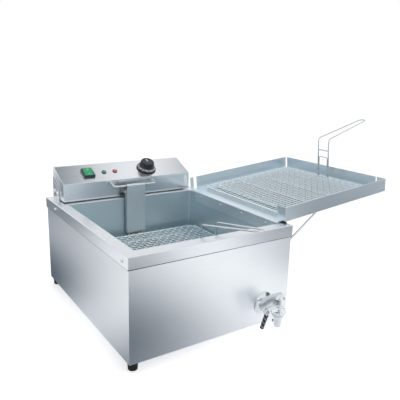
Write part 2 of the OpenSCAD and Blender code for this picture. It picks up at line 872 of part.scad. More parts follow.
// Rocker switch: housing with a bezel on the panel, and the rocker on two trunnions
module switch_housing() {
    well = [switch_w - 2 * bezel_rim, switch_l - 2 * bezel_rim];
    color(black) on_panel(switch_x) difference() {
        union() {
            translate([-switch_w / 2, -switch_l / 2, 0]) cube([switch_w, switch_l, bezel_h]);
            translate([fit - switch_cut[0] / 2, fit - switch_cut[1] / 2, -switch_depth])
                cube([switch_cut[0] - 2 * fit, switch_cut[1] - 2 * fit, switch_depth + past]);
        }
        translate([-well[0] / 2, -well[1] / 2, rock_pivot - rock_r - rest])
            cube([well[0], well[1], rock_r + bezel_h + 5 * past]);
        translate([0, 0, rock_pivot])
            bar_x(-well[0] / 2 - trunnion_len, well[0] / 2 + trunnion_len, trunnion_d + 2 * run);
    }
}

module rocker() {
    color("SeaGreen") on_panel(switch_x) translate([0, 0, rock_pivot]) rotate([rock_tilt, 0, 0]) {
        across(rock_w) intersection() {
            circle(rock_r);
            polygon([[-rock_r, -rock_under], [rock_r, -rock_under], [rock_r, rock_end],
                     [0, rock_waist], [-rock_r, rock_end]]);
        }
        bar_x(-rock_w / 2 - trunnion_len, rock_w / 2 + trunnion_len, trunnion_d);
    }
}

// Pilot lamps: threaded bodies with a ring on the panel, and a domed lens in each
module pilot_bodies() {
    color(dark) for (x = [green_x, amber_x]) on_panel(x) difference() {
        union() {
            cylinder(h = lamp_h, d = lens_d + 2 * lamp_rim);
            translate([0, 0, -lamp_depth]) cylinder(h = lamp_depth + past, d = lens_d - 2 * fit);
        }
        translate([0, 0, lamp_h / 3]) cylinder(h = lamp_h, d = lens_d);
    }
}
module lamp_lens(x) {
    on_panel(x) {
        translate([0, 0, lamp_h / 3]) cylinder(h = lamp_h * 2 / 3, d = lens_d - 2 * fit);
        translate([0, 0, lamp_h]) dome(lens_d / 2 - 2 * fit, lens_h);
    }
}
module green_lens() {
    color("Green") lamp_lens(green_x);
}
module amber_lens() {
    color("OrangeRed") lamp_lens(amber_x);
}

// Thermostat under the panel, with its spindle, knob and capillary bulb
module thermostat_body() {
    color(dark) on_panel(knob_x) difference() {
        union() {
            translate([-thermostat_size[0] / 2, -thermostat_size[1] / 2, -sheet - thermostat_size[2]])
                cube(thermostat_size);
            translate([0, 0, -sheet - past]) cylinder(h = sheet + past + bush_h, d = bush_d);
        }
        translate([0, 0, -spindle_in - rest])
            cylinder(h = spindle_in + bush_h + past, d = spindle_d + 2 * run);
    }
}
module thermostat_spindle() {
    color(steel) on_panel(knob_x) translate([0, 0, -spindle_in])
        cylinder(h = spindle_in + spindle_out, d = spindle_d);
}
module thermostat_knob() {
    skirt_top = knob_h * 0.3;
    skirt_edge = 1.8;
    fillet = [2, 1];
    grip_taper = 1.5;
    top_edge = 3;
    scallops = 14;
    scallop_d = knob_grip_d * 0.14;
    r = knob_grip_d / 2;
    color(black) on_panel(knob_x) difference() {
        rotate_extrude() polygon([
            [0, knob_lift], [knob_d / 2, knob_lift], [knob_d / 2, knob_lift + skirt_edge],
            [r + fillet[0], skirt_top], [r, skirt_top + fillet[1]],
            [r - grip_taper, knob_h - top_edge], [r - grip_taper - top_edge, knob_h], [0, knob_h]]);
        for (i = [0:scallops - 1]) rotate([0, 0, i * 360 / scallops])
            translate([0, r + rest, skirt_top + grip_taper]) cylinder(h = knob_h, d = scallop_d);
        translate([0, 0, knob_lift - past])
            cylinder(h = bush_h - knob_lift + rest + past, d = bush_d + 4 * run);
        cylinder(h = spindle_out + rest, d = spindle_d + 2 * fit);
    }
}
module thermostat_bulb() {
    drop = leg_z - leg_bend - (guard_bottom + bulb_up) - bulb_len;
    color("Peru") translate([0, head_y + leg_end, leg_z]) rotate([90, 0, 0])
        go(head_y + leg_end - leg_y - leg_bend, capillary_d) bend(leg_bend, 90, 0, capillary_d)
        go(drop, capillary_d) cylinder(h = bulb_len, d = bulb_d);
}

// Other electrical pieces on the head's base plate
module limit_cutout() {
    h = 12;
    tab = [5, 0.8, 8];
    color(dark) translate([knob_x, gear_y, head_z + sheet]) {
        cylinder(h = h, d = 2 * h);
        for (x = [-h / 2, h / 2]) translate([x - tab[0] / 2, -tab[1] / 2, h - past])
            cube([tab[0], tab[1], tab[2] + past]);
    }
}
module terminal_block() {
    size = [64, 22, 16];
    poles = 4;
    pitch = size[0] / poles;
    well = 6;
    color("Ivory") translate([amber_x - size[0], gear_y - size[1] / 2, head_z + sheet]) difference() {
        cube(size);
        for (i = [0:poles - 1], y = [well, size[1] - well])
            translate([(i + 0.5) * pitch, y, size[2] - well]) cylinder(h = well + past, d = well);
    }
}

// One heating element: a leg down from the head, out to the front, back, in, and up again
module element() {
    reach = head_y + sheet + plate_t + leg_end - leg_y - leg_bend;
    color(dark) translate([leg_inner, leg_y + leg_bend + reach, leg_z]) rotate([90, 0, 0]) {
        translate([0, 0, -terminal_len]) cylinder(h = terminal_len + past, d = terminal_d);
        go(reach, element_d) bend(leg_bend, 90, 0, element_d)
        go(leg_drop, element_d) bend(leg_bend, 90, 180, element_d)
        go(loop_long, element_d) bend(loop_outer_r, 180, -90, element_d)
        go(loop_short, element_d) bend(loop_inner_r, 180, 0, element_d)
        go(loop_short, element_d) bend(loop_inner_r, 180, 180, element_d)
        go(loop_long, element_d) bend(leg_bend, 90, -90, element_d)
        go(leg_drop, element_d) bend(leg_bend, 90, 180, element_d)
        go(reach, element_d)
        translate([0, 0, -past]) cylinder(h = terminal_len + past, d = terminal_d);
    }
}
module right_element() {
    element();
}
module left_element() {
    mirror([1, 0, 0]) element();
}

// Plate behind the head's front that holds the element legs
module element_plate() {
    half = leg_inner + leg_pitch + element_d;
    color(steel) difference() {
        box([-half, head_y + sheet, leg_z - element_d],
            [half, head_y + sheet + plate_t, leg_z + element_d]);
        for (x = leg_xs) translate([x, 0, leg_z]) bar_y(head_y, head_y + 10 * past, element_d + 2 * fit);
        translate([0, 0, leg_z]) bar_y(head_y, head_y + 10 * past, capillary_d + 2 * fit);
    }
}

// Flat strips under the loops that keep the tubes apart
module element_braces() {
    half = loop_half_w + element_d / 2;
    top = loop_z - element_d / 2 - fit;
    color(steel) for (y = brace_ys)
        box([-half, y - brace_w / 2, top - brace_t], [half, y + brace_w / 2, top]);
}

// U-shaped bar in front of the head
module at_hanger_roots() {
    for (s = [0, 1]) mirror([s, 0, 0]) translate([hanger_w / 2, head_y, hanger_z])
        rotate([90 + hanger_drop, 0, 0]) translate([0, 0, -hanger_root]) children();
}
module hanger_bar() {
    color(chrome) at_hanger_roots()
        go(hanger_root + hanger_reach - hanger_bend, hanger_d) bend(hanger_bend, 90, -90, hanger_d)
        cylinder(h = hanger_w / 2 - hanger_bend, d = hanger_d);
}

// Channel that hooks over the bar and covers the element legs
module element_guard() {
    color(steel) {
        across(guard_w) translate([rail_y, rail_z]) {
            difference() {
                circle(curl_out);
                circle(curl_in);
                translate([-2 * curl_out, -2 * curl_out]) square([4 * curl_out, 2 * curl_out]);
            }
            translate([-curl_out, guard_bottom - rail_z]) square([guard_t, rail_z - guard_bottom]);
            translate([curl_in, -hanger_d]) square([guard_t, hanger_d]);
        }
        for (s = [0, 1]) mirror([s, 0, 0])
            box([guard_w / 2 - guard_t, rail_y - curl_out, guard_bottom],
                [guard_w / 2, rail_y - curl_out + guard_side, rail_z - 2 * hanger_d]);
    }
}

// Drain tap: nipple through tank and casing, flange, body with barrel, bonnet and spout
module drain_nipple() {
    color(chrome) translate([tap_x, 0, tap_z]) difference() {
        bar_y(tap_y - flange_t - socket_len + past, open_front, nipple_d);
        bar_y(tap_y - flange_t - socket_len, open_front + past, nipple_bore);
    }
}
module nipple_nut() {
    color(dark) translate([tap_x, open_front - tank_wall, tap_z]) rotate([90, 0, 0])
        hex_nut(nipple_d * 1.45, nipple_nut_h, nipple_d + 2 * fit);
}
module tap_flange() {
    color(chrome) translate([tap_x, tap_y, tap_z]) rotate([90, 0, 0]) difference() {
        union() {
            cylinder(h = flange_edge, d = flange_d);
            translate([0, 0, flange_edge]) dome(flange_d / 2 - fit, flange_t - flange_edge);
        }
        translate([0, 0, -past]) cylinder(h = flange_t + 2 * past, d = nipple_d + 2 * fit);
    }
}
module tap_body() {
    socket_y = barrel_reach - flange_t;
    color(chrome) on_tap() difference() {
        union() {
            translate([0, 0, -neck_rise]) bar_y(socket_y - socket_len, socket_y, socket_d);
            tap_neck(socket_y - socket_len + neck_in, barrel_d * 0.85);
            translate([0, 0, -barrel_down]) cylinder(h = barrel_up + barrel_down, d = barrel_d);
            bar_x(-barrel_d / 2 - stem_boss, 0, stem_d * 2);
        }
        translate([0, 0, -neck_rise])
            bar_y(socket_y - socket_len + past - fit, socket_y + past, nipple_d + 2 * fit);
        tap_neck(socket_y - socket_len + neck_in, flow_d);
        sphere(d = ball_d + 2 * run);
        cylinder(h = barrel_up + past, d = ball_d + 2 * run);
        translate([0, 0, -barrel_down - past]) cylinder(h = barrel_down + past, d = flow_d);
        bar_x(-barrel_d, 0, stem_d + 2 * run);
    }
}
// A round bar that rises from the nipple's axis, a reach behind the barrel, to the barrel's middle
module tap_neck(reach, d) {
    translate([0, reach, -neck_rise]) rotate([90 - atan2(neck_rise, reach), 0, 0])
        cylinder(h = norm([reach, neck_rise]), d = d);
}
module tap_bonnet() {
    r = barrel_d / 2;
    color(chrome) on_tap() translate([0, 0, barrel_up]) {
        cylinder(h = bonnet_seam + past, d = barrel_d * 0.86);
        translate([0, 0, bonnet_seam]) cylinder(h = bonnet_h - bonnet_seam - bonnet_dome, r = r);
        translate([0, 0, bonnet_h - bonnet_dome]) dome(r - fit, bonnet_dome);
    }
}
module tap_spout() {
    d = flow_d + 2 * spout_wall;
    neck = spout_len * 0.3;
    color(chrome) on_tap() translate([0, 0, -barrel_down]) difference() {
        union() {
            translate([0, 0, -neck]) cylinder(h = neck, d1 = d, d2 = barrel_d - 2 * past);
            translate([0, 0, -spout_len]) cylinder(h = spout_len - neck + fit, d1 = d - spout_taper, d2 = d);
        }
        translate([0, 0, -spout_len - past]) cylinder(h = spout_len + 2 * past, d = flow_d);
    }
}
module valve_ball() {
    color(steel) on_tap() difference() {
        sphere(d = ball_d);
        bar_y(0, ball_d, flow_d - 1);
        cylinder(h = ball_d, d = flow_d - 1);
        bar_x(-ball_d, stem_in - ball_d / 2, stem_d + 2 * fit);
    }
}
module valve_stem() {
    inner_end = stem_in - ball_d / 2 - rest;
    color(steel) on_tap() {
        bar_x(hub_x - tap_x, inner_end, stem_d);
        bar_x(hub_x - tap_x - stem_tail, hub_x - tap_x + past, tail_d);
    }
}
module tap_lever() {
    color(chrome) on_lever() difference() {
        union() {
            translate([hub_x - tap_x, 0, 0]) bar_x(0, hub_t, hub_d);
            translate([hub_x + hub_t / 2 - tap_x, 0, sleeve_end - lever_len])
                cylinder(h = lever_len - sleeve_end, d = lever_rod_d);
        }
        bar_x(hub_x - tap_x - past, hub_x - tap_x + hub_t + past, stem_d + 2 * fit);
    }
}
module lever_sleeve() {
    ribs = 8;
    groove = 1;
    len = lever_len - sleeve_start;
    pitch = len / ribs;
    color(black) on_lever() translate([hub_x + hub_t / 2 - tap_x, 0, -lever_len]) difference() {
        cylinder(h = len, d = sleeve_d);
        translate([0, 0, sleeve_end]) cylinder(h = len, d = lever_rod_d + 2 * fit);
        for (i = [1:ribs - 1]) translate([0, 0, i * pitch - groove / 2]) difference() {
            cylinder(h = groove, d = sleeve_d + past);
            cylinder(h = groove, d = sleeve_d - groove);
        }
    }
}
module lever_nut() {
    h = tail_d * 0.8;
    color(steel) on_tap() translate([hub_x - tap_x - h, 0, 0]) rotate([0, 90, 0])
        hex_nut(tail_d * 1.9, h, tail_d + 2 * fit);
}

// Drain tray: floor, walls with open corners, and a drip edge down into the tank
module drain_tray() {
    left = tray_x + lip_a * cos(tray_slope);
    color(steel) difference() {
        union() {
            in_tray_frame() {
                box([0, 0, -tray_t], [tray_len, tray_wid, 0]);
                box([lip_a + rest, lip_front, -tray_t], [past, lip_back, 0]);
                box([-ear_in - ear_w, lip_back - past, -tray_t], [past, tray_wid, 0]);
                box([0, 0, -tray_t], [tray_len, tray_t, tray_h]);
                box([0, 0, -tray_t], [tray_t, tray_tab, tray_h]);
                box([tray_len - tray_t, 0, -tray_t], [tray_len, tray_tab, tray_h]);
                box([tray_len - tray_t, tray_tab + tray_slit / 2, -tray_t],
                    [tray_len, tray_wid - tray_slit, tray_h]);
                box([ear_in, tray_wid - tray_t, -tray_t], [tray_len - tray_t, tray_wid, tray_h]);
                box([-ear_in - ear_w, tray_wid - tray_t, -tray_t], [-ear_in, tray_wid, tray_h]);
            }
            box([left, tray_y + lip_front + rest, rim_top - drip_depth],
                [hook_x, tray_y + lip_back - rest, tray_z + lip_a * sin(tray_slope) - rest]);
        }
        at_rivets() rivet_hole();
    }
}

// Hook: a strip under the tray that lies on the rim and turns down into the tank
module tray_hook() {
    top = tray_z + (hook_x - tray_x) * tan(tray_slope) - tray_t / cos(tray_slope);
    start = (hook_x - tray_x) / cos(tray_slope) + tray_t;
    color(steel) difference() {
        union() {
            in_tray_frame()
                box([start, lip_front, -tray_t - hook_t], [start + hook_on_rim, lip_back, -tray_t]);
            box([hook_x, tray_y + lip_front + rest, rim_top - hook_depth],
                [hook_x + hook_t, tray_y + lip_back - rest, top - rest]);
        }
        at_rivets() rivet_hole();
    }
}
module at_rivets() {
    for (y = rivet_ys) translate([hook_x - tray_t, y, rim_top - drip_depth / 2])
        rotate([0, -90, 0]) children();
}
module rivet_hole() {
    translate([0, 0, -tray_t - hook_t - past])
        cylinder(h = tray_t + hook_t + 2 * past, d = rivet_d * 0.6 + 2 * fit);
}
module hook_rivets() {
    color(steel) at_rivets() screw(rivet_d, rivet_h, rivet_d * 0.6, tray_t + hook_t);
}

// Stops under the tray, square to the prop's legs, that its bar leans against
module tray_catches() {
    stop = prop_len + prop_d / 2 + seat;
    color(steel) for (s = [-1, 1]) translate([0, s * catch_y, 0]) intersection() {
        on_prop() box([-catch_up, -catch_w / 2, stop], [catch_down, catch_w / 2, stop + catch_t]);
        in_tray_frame() box([0, 0, -catch_up], [tray_len, tray_wid, -tray_t]);
    }
}

// Wire prop hinged on the casing's side
module tray_prop() {
    color(chrome) on_prop() for (s = [0, 1]) mirror([0, s, 0])
        translate([0, prop_bend + pin_len - prop_w / 2, 0]) rotate([90, 0, 0])
        go(pin_len, prop_d) bend(prop_bend, 90, 180, prop_d)
        go(prop_len - 2 * prop_bend, prop_d) bend(prop_bend, 90, 0, prop_d)
        cylinder(h = prop_w / 2 - prop_bend, d = prop_d);
}
module prop_saddles() {
    axis = prop_x - body_w / 2;
    color(steel) at_saddles() difference() {
        union() {
            box([0, -saddle_w / 2, -saddle_half], [saddle_t, saddle_w / 2, saddle_half]);
            box([0, -saddle_w / 2, -saddle_r], [axis, saddle_w / 2, saddle_r]);
            translate([axis, 0, 0]) bar_y(-saddle_w / 2, saddle_w / 2, 2 * saddle_r);
        }
        translate([axis, 0, 0]) bar_y(-saddle_w, saddle_w, prop_d + 2 * run);
        at_saddle_screws() translate([0, 0, -past])
            cylinder(h = saddle_t + 2 * past, d = screw_d + 2 * fit);
    }
}
module saddle_screws() {
    color(steel) at_saddles() at_saddle_screws() translate([0, 0, saddle_t])
        screw(screw_head_d, screw_head_h, screw_d, saddle_t + sheet + screw_end);
}

// Basket frame: a rim rod with round corners on four lower rods
module basket_frame() {
    x = (basket_w - rod_d) / 2;
    y = (basket_d - rod_d) / 2;
    r = basket_corner_r;
    for (s = [-1, 1]) {
        translate([0, s * y, rim_rod_z]) bar_x(r - x, x - r, rod_d);
        translate([s * x, 0, rim_rod_z]) bar_y(r - y, y - r, rod_d);
    }
    for (i = [0:3]) rotate([0, 0, 90 * i]) {
        corner = i % 2 == 0 ? [x - r, y - r] : [y - r, x - r];
        translate([corner[0], corner[1], rim_rod_z])
            rotate_extrude(angle = 90) translate([r, 0]) circle(d = rod_d);
    }
    for (i = [-3:2:3]) translate([0, i * basket_d / 8, low_rod_z]) bar_x(-x, x, rod_d);
}

// Flat net on the frame, open where the handle's legs pass
module basket_net() {
    w = basket_w - rod_d;
    d = basket_d - rod_d;
    pitch = [(w - net_strand) / net_gaps, (d - net_strand) / net_gaps];
    translate([0, 0, net_z]) linear_extrude(net_t) difference() {
        round_rect(w, d, basket_corner_r);
        for (i = [0:net_gaps - 1], j = [0:net_gaps - 1])
            if (!(i % (net_gaps - 1) == 0 && j % (net_gaps - 1) == 0))
                translate([net_strand - w / 2 + i * pitch[0], net_strand - d / 2 + j * pitch[1]])
                    square([pitch[0] - net_strand, pitch[1] - net_strand]);
        for (s = [-1, 1], x = [handle_gap / 2, inner_x])
            translate([s * x, leg_line]) circle(d = handle_d + 2 * rest);
    }
}

// Wire handle: two legs, a tapering grip with a round tip, two ties and a foot bar
module basket_handle() {
    for (s = [0, 1]) mirror([s, 0, 0]) translate([handle_gap / 2, leg_line, leg_foot])
        welded(handle_h - handle_bend - leg_foot, handle_d)
        bend(handle_bend, grip_turn, -grip_in, handle_d)
        welded(grip_len, handle_d)
        bend(tip_bend, tip_turn, atan2(-cos(grip_in), sin(grip_in) * cos(grip_turn)), handle_d) {
            weld(handle_d);
            translate([0, 0, bead]) cylinder(h = tip_len - 2 * bead, d = handle_d);
            translate([0, 0, tip_len]) if (s == 0) weld(handle_d);
        }
    for (z = [rim_rod_z, tie_h]) translate([0, leg_line, z])
        bar_x(-handle_gap / 2, handle_gap / 2, tie_d);
    for (s = [0, 1]) mirror([s, 0, 0]) translate([inner_x, leg_line, rim_rod_z])
        go(inner_h - inner_bend - rim_rod_z, inner_d) bend(inner_bend, 90, -90, inner_d)
        cylinder(h = inner_x - inner_bend, d = inner_d);
}

module tank_basket_frame() {
    color(chrome) in_tank() basket_frame();
}
module tank_basket_net() {
    color(chrome) in_tank() basket_net();
}
module tank_basket_handle() {
    color(chrome) in_tank() basket_handle();
}
module tray_basket_frame() {
    color(chrome) in_tray() basket_frame();
}
module tray_basket_net() {
    color(chrome) in_tray() basket_net();
}
module tray_basket_handle() {
    color(chrome) in_tray() basket_handle();
}

outer_casing();
rear_panel();
base_pan();
top_surround();
oil_tank();
rubber_feet();
foot_screws();
foot_nuts();
surround_screws();
rear_panel_screws();
quadrant_plates();
pivot_bolts();
drain_nipple();
nipple_nut();
tap_flange();
tap_body();
tap_bonnet();
tap_spout();
valve_ball();
valve_stem();
tap_lever();
lever_sleeve();
lever_nut();
head_shell();
head_back_cover();
head_base_plate();
back_cover_screws();
guide_bolts();
switch_housing();
rocker();
pilot_bodies();
green_lens();
amber_lens();
thermostat_body();
thermostat_spindle();
thermostat_knob();
thermostat_bulb();
limit_cutout();
terminal_block();
cable_gland();
left_element();
right_element();
element_plate();
element_braces();
hanger_bar();
element_guard();
drain_tray();
tray_hook();
hook_rivets();
tray_catches();
tray_prop();
prop_saddles();
saddle_screws();
tank_basket_frame();
tank_basket_net();
tank_basket_handle();
tray_basket_frame();
tray_basket_net();
tray_basket_handle();
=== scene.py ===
"""Looks of a countertop donut fryer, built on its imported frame.

The solids give every place and size. This script adds the finishes, the woven nets, the dial, the tap's
casting and wound grip, screw heads, feet and other trim, and sets a plain studio with one camera. Sizes
of the trim are in millimetres, those of the studio and in the materials in metres.
"""

from __future__ import annotations

import json
import logging
from abc import ABC, abstractmethod
from dataclasses import dataclass, field
from enum import Enum
from math import atan2, cos, pi, radians, sin, tan, tau
from typing import Callable, Sequence

import bmesh
import bpy
from mathutils import Matrix, Vector

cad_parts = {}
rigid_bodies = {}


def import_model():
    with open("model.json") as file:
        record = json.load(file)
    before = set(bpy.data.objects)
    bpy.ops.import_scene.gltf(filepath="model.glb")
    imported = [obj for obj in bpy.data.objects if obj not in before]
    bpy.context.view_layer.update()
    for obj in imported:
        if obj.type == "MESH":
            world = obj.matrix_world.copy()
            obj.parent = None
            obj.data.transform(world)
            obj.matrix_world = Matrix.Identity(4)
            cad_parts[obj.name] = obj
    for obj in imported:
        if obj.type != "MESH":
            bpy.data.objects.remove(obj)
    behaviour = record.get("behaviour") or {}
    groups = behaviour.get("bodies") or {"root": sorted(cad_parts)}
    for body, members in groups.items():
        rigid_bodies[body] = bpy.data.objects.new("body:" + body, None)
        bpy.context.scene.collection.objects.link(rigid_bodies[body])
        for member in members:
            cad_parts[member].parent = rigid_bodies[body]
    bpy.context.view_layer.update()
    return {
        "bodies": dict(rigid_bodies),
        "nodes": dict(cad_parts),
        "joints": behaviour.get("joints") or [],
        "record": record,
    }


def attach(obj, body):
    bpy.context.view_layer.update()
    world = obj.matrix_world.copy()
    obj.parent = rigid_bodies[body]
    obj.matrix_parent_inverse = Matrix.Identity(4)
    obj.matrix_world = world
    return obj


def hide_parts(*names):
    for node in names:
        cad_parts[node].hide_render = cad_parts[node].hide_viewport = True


LOG = logging.getLogger("donut_fryer")
MM = 0.001
QUARTER = pi / 2
WALL_TURNS = {"+X": ("Y", QUARTER), "-X": ("Y", -QUARTER), "+Y": ("X", -QUARTER), "-Y": ("X", QUARTER)}
STREAK_ALONG, STREAK_ACROSS = 5.0, 620.0
NOISE_LOW, NOISE_HIGH = 0.25, 0.75
AXIS_R = 0.4
TINY = 1e-6
SHARP_ANGLE, ROUND_FORM_ANGLE = 35.0, 60.0
WHITE = (1.0, 1.0, 1.0, 1.0)
Colour = tuple[float, float, float]
Point = tuple[float, float, float]
Four = tuple[float, float, float, float]
Steps = tuple[tuple[float, float], ...]
Socket = bpy.types.NodeSocket
Object = bpy.types.Object
Material = bpy.types.Material


class Grain(Enum):
    """Direction of the brushing, as the stretch of the streaks along X, Y and Z."""

    LEVEL = (STREAK_ALONG, STREAK_ALONG, STREAK_ACROSS)
    ALONG_X = (STREAK_ALONG, STREAK_ACROSS, STREAK_ACROSS)
    UPRIGHT = (STREAK_ACROSS, STREAK_ACROSS, STREAK_ALONG)


class Slot(Enum):
    """Material slots of the record."""

    CASING = "casing_steel"
    DECK = "deck_steel"
    TANK = "tank_steel"
    HEAD = "head_steel"
    TRAY = "tray_steel"
    WIRE = "wire_chrome"
    TAP = "tap_chrome"
    FASTENER = "fastener_steel"
    RUBBER = "foot_rubber"
    BLACK = "black_plastic"
    ROCKER = "rocker_green"
    GREEN = "lens_green"
    AMBER = "lens_amber"
    ELEMENT = "element_steel"
    COPPER = "bulb_copper"
    IVORY = "terminal_ivory"


class NodeSheet:
    """Node tree of a material or of the world, with short calls to add nodes and join them."""

    def __init__(self, name: str, world: bpy.types.World | None = None) -> None:
        """Starts an empty tree.

        Args:
            name: Name of the new material.
            world: World that the tree belongs to, in place of a material.
        """
        self.owner = world or bpy.data.materials.new(name)
        self.owner.use_nodes = True
        self.tree = self.owner.node_tree
        self.tree.nodes.clear()
        self.output = self.add("OutputWorld" if world else "OutputMaterial")

    def add(self, kind: str, inputs: dict | None = None, **settings: object) -> bpy.types.Node:
        """Adds a node.

        Args:
            kind: Node type without its "ShaderNode" prefix.
            inputs: Constant or output socket for each input.
            settings: Properties of the node itself.

        Returns:
            The new node.
        """
        node = self.tree.nodes.new("ShaderNode" + kind)
        for key, value in settings.items():
            setattr(node, key, value)
        for key, value in (inputs or {}).items():
            if isinstance(value, Socket):
                self.tree.links.new(value, node.inputs[key])
            else:
                node.inputs[key].default_value = value
        return node

    def value(self, kind: str, inputs: dict, **settings: object) -> Socket:
        """Adds a node and gives its first output."""
        return self.add(kind, inputs, **settings).outputs[0]

    def math(self, operation: str, *values: object, kind: str = "Math") -> Socket:
        """Adds a calculation on numbers, or on vectors with the vectors' kind of node."""
        return self.value(kind, dict(enumerate(values)), operation=operation)

    def place(self) -> Socket:
        """Gives the place on the object."""
        return self.add("TexCoord").outputs["Object"]

    def noise(self, stretch: float | Sequence[float], detail: float) -> Socket:
        """Adds noise on the piece.

        Args:
            stretch: Its scale, or its scale along X, Y and Z.
            detail: Its octaves.

        Returns:
            The noise's value, about 0.5 on average.
        """
        scale = (stretch,) * 3 if isinstance(stretch, float) else stretch
        mapped = self.value("Mapping", {"Vector": self.place(), "Scale": scale})
        return self.value("TexNoise", {"Vector": mapped, "Scale": 1.0, "Detail": detail})

    def span(self, value: Socket, low: float = 0.0, high: float = 1.0) -> Socket:
        """Maps noise onto a range."""
        return self.value("MapRange", {"Value": value, "From Min": NOISE_LOW, "From Max": NOISE_HIGH,
                                       "To Min": low, "To Max": high})

    def fade(self, value: Socket, start: float, end: float, full: float) -> Socket:
        """Fades smoothly out to 0 between two values."""
        return self.value("MapRange", {"Value": value, "From Min": start, "From Max": end, "To Min": full,
                                       "To Max": 0.0}, interpolation_type="SMOOTHSTEP")

    def blend(self, factor: Socket, low: Colour | Socket, high: Colour) -> Socket:
        """Blends two colours."""
        first = low if isinstance(low, Socket) else (*low, 1.0)
        return self.value("MixRGB", {0: factor, 1: first, 2: (*high, 1.0)})

    def bump(self, height: Socket, strength: float, depth: float) -> Socket:
        """Adds a bump."""
        return self.value("Bump", {"Height": height, "Strength": strength, "Distance": depth})

    def inside(self, low: Point, high: Point, soft: float = 14.0 * MM) -> Socket:
        """Tells how far a place is inside a box, from 0 to 1.

        Args:
            low: Lowest corner of the box.
            high: Highest corner of the box.
            soft: Half the width of the soft edge.

        Returns:
            The socket.
        """
        middle = tuple((a + b) / 2 for a, b in zip(low, high))
        half = tuple((b - a) / 2 for a, b in zip(low, high))
        off = self.math("SUBTRACT", self.place(), middle, kind="VectorMath")
        off = self.math("ABSOLUTE", off, kind="VectorMath")
        off = self.math("SUBTRACT", off, half, kind="VectorMath")
        x, y, z = self.add("SeparateXYZ", {0: off}).outputs
        worst = self.math("MAXIMUM", self.math("MAXIMUM", x, y), z)
        return self.fade(worst, -soft, soft, 1.0)

    def finish(self, shader: bpy.types.Node) -> bpy.types.ID:
        """Joins the shader to the output."""
        self.tree.links.new(shader.outputs[0], self.output.inputs[0])
        return self.owner

    def surface(self, inputs: dict) -> Material:
        """Ends the material in a principled surface."""
        return self.finish(self.add("BsdfPrincipled", inputs))


def shade(colour: Colour, factor: float) -> Colour:
    """Makes a colour lighter or darker."""
    return tuple(min(1.0, c * factor) for c in colour)


@dataclass(frozen=True)
class BrushedSheet:
    """Stainless sheet with brushed streaks, faint clouds, and perhaps painted shade: a darker box where a net
    above shadows the sheet.
    """

    name: str
    tint: Colour
    grain: Grain
    roughness: float = 0.30
    rough_swing: float = 0.03
    contrast: float = 0.022
    cloud: float = 0.03
    cloud_scale: float = 9.0
    bump: float = 0.015
    scratch: float = 0.05 * MM
    metal: float = 1.0
    painted_shade_box: tuple[Point, Point] | None = None
    painted_shade_tone: float = 0.42

    def make(self) -> Material:
        """Builds the material."""
        sheet = NodeSheet(self.name)
        streak = sheet.noise(self.grain.value, detail=5.0)
        cloud = sheet.noise(self.cloud_scale, detail=3.0)
        colour = sheet.blend(sheet.span(cloud), shade(self.tint, 1.0 - self.cloud), self.tint)
        colour = sheet.blend(sheet.span(streak), colour, shade(self.tint, 1.0 + self.contrast))
        # Painted shade: the sheet is darker inside the box, as under the tray basket's net.
        if self.painted_shade_box:
            colour = sheet.blend(sheet.inside(*self.painted_shade_box), colour, shade(self.tint, self.painted_shade_tone))
        rough = sheet.span(streak, self.roughness - self.rough_swing, self.roughness + self.rough_swing)
        return sheet.surface({"Base Color": colour, "Metallic": self.metal, "Roughness": rough,
                              "Normal": sheet.bump(streak, self.bump, self.scratch)})


@dataclass(frozen=True)
class BrightPlate:
    """Bright plating with faint waves and small specks of wear."""

    name: str
    tint: Colour
    roughness: float = 0.10
    rough_span: tuple[float, float] = (0.7, 1.5)
    wave_scale: float = 35.0
    wave: float = 0.08
    wave_depth: float = 0.2 * MM
    speck_scale: float = 900.0
    wear: float = 0.93

    def make(self) -> Material:
        """Builds the material."""
        sheet = NodeSheet(self.name)
        wave = sheet.noise(self.wave_scale, detail=2.0)
        speck = sheet.noise(self.speck_scale, detail=2.0)
        colour = sheet.blend(sheet.span(speck), shade(self.tint, self.wear), self.tint)
        rough = sheet.span(wave, *(self.roughness * share for share in self.rough_span))
        return sheet.surface({"Base Color": colour, "Metallic": 1.0, "Roughness": rough,
                              "Normal": sheet.bump(wave, self.wave, self.wave_depth)})


@dataclass(frozen=True)
class Moulding:
    """Moulded plastic or rubber with a fine spark-eroded texture and a little dust."""

    name: str
    tint: Colour
    roughness: float
    rough_span: tuple[float, float] = (-0.06, 0.08)
    grit_scale: float = 1400.0
    grit: float = 0.25
    grit_depth: float = 0.08 * MM
    dust_scale: float = 60.0
    dust: float = 1.25

    def make(self) -> Material:
        """Builds the material."""
        sheet = NodeSheet(self.name)
        grit = sheet.noise(self.grit_scale, detail=3.0)
        dust = sheet.noise(self.dust_scale, detail=4.0)
        rough = sheet.span(dust, *(self.roughness + change for change in self.rough_span))
        colour = sheet.blend(sheet.span(dust), self.tint, shade(self.tint, self.dust))
        return sheet.surface({"Base Color": colour, "Roughness": rough,
                              "Normal": sheet.bump(grit, self.grit, self.grit_depth)})


@dataclass(frozen=True)
class LampPlastic:
    """Clear coloured plastic over a lamp, with the uneven depth of its prisms."""

    name: str
    tint: Colour
    glow: float
    rough_span: tuple[float, float] = (0.06, 0.16)
    prism_scale: float = 420.0
    prism: float = 0.12
    prism_depth: float = 0.15 * MM
    deep: float = 0.75
    coat: float = 0.6
    coat_roughness: float = 0.05

    def make(self) -> Material:
        """Builds the material."""
        sheet = NodeSheet(self.name)
        prism = sheet.noise(self.prism_scale, detail=1.0)
        colour = sheet.blend(sheet.span(prism), shade(self.tint, self.deep), self.tint)
        return sheet.surface({"Base Color": colour, "Roughness": sheet.span(prism, *self.rough_span),
                              "Coat Weight": self.coat, "Coat Roughness": self.coat_roughness,
                              "Emission Color": (*self.tint, 1.0), "Emission Strength": self.glow,
                              "Normal": sheet.bump(prism, self.prism, self.prism_depth)})


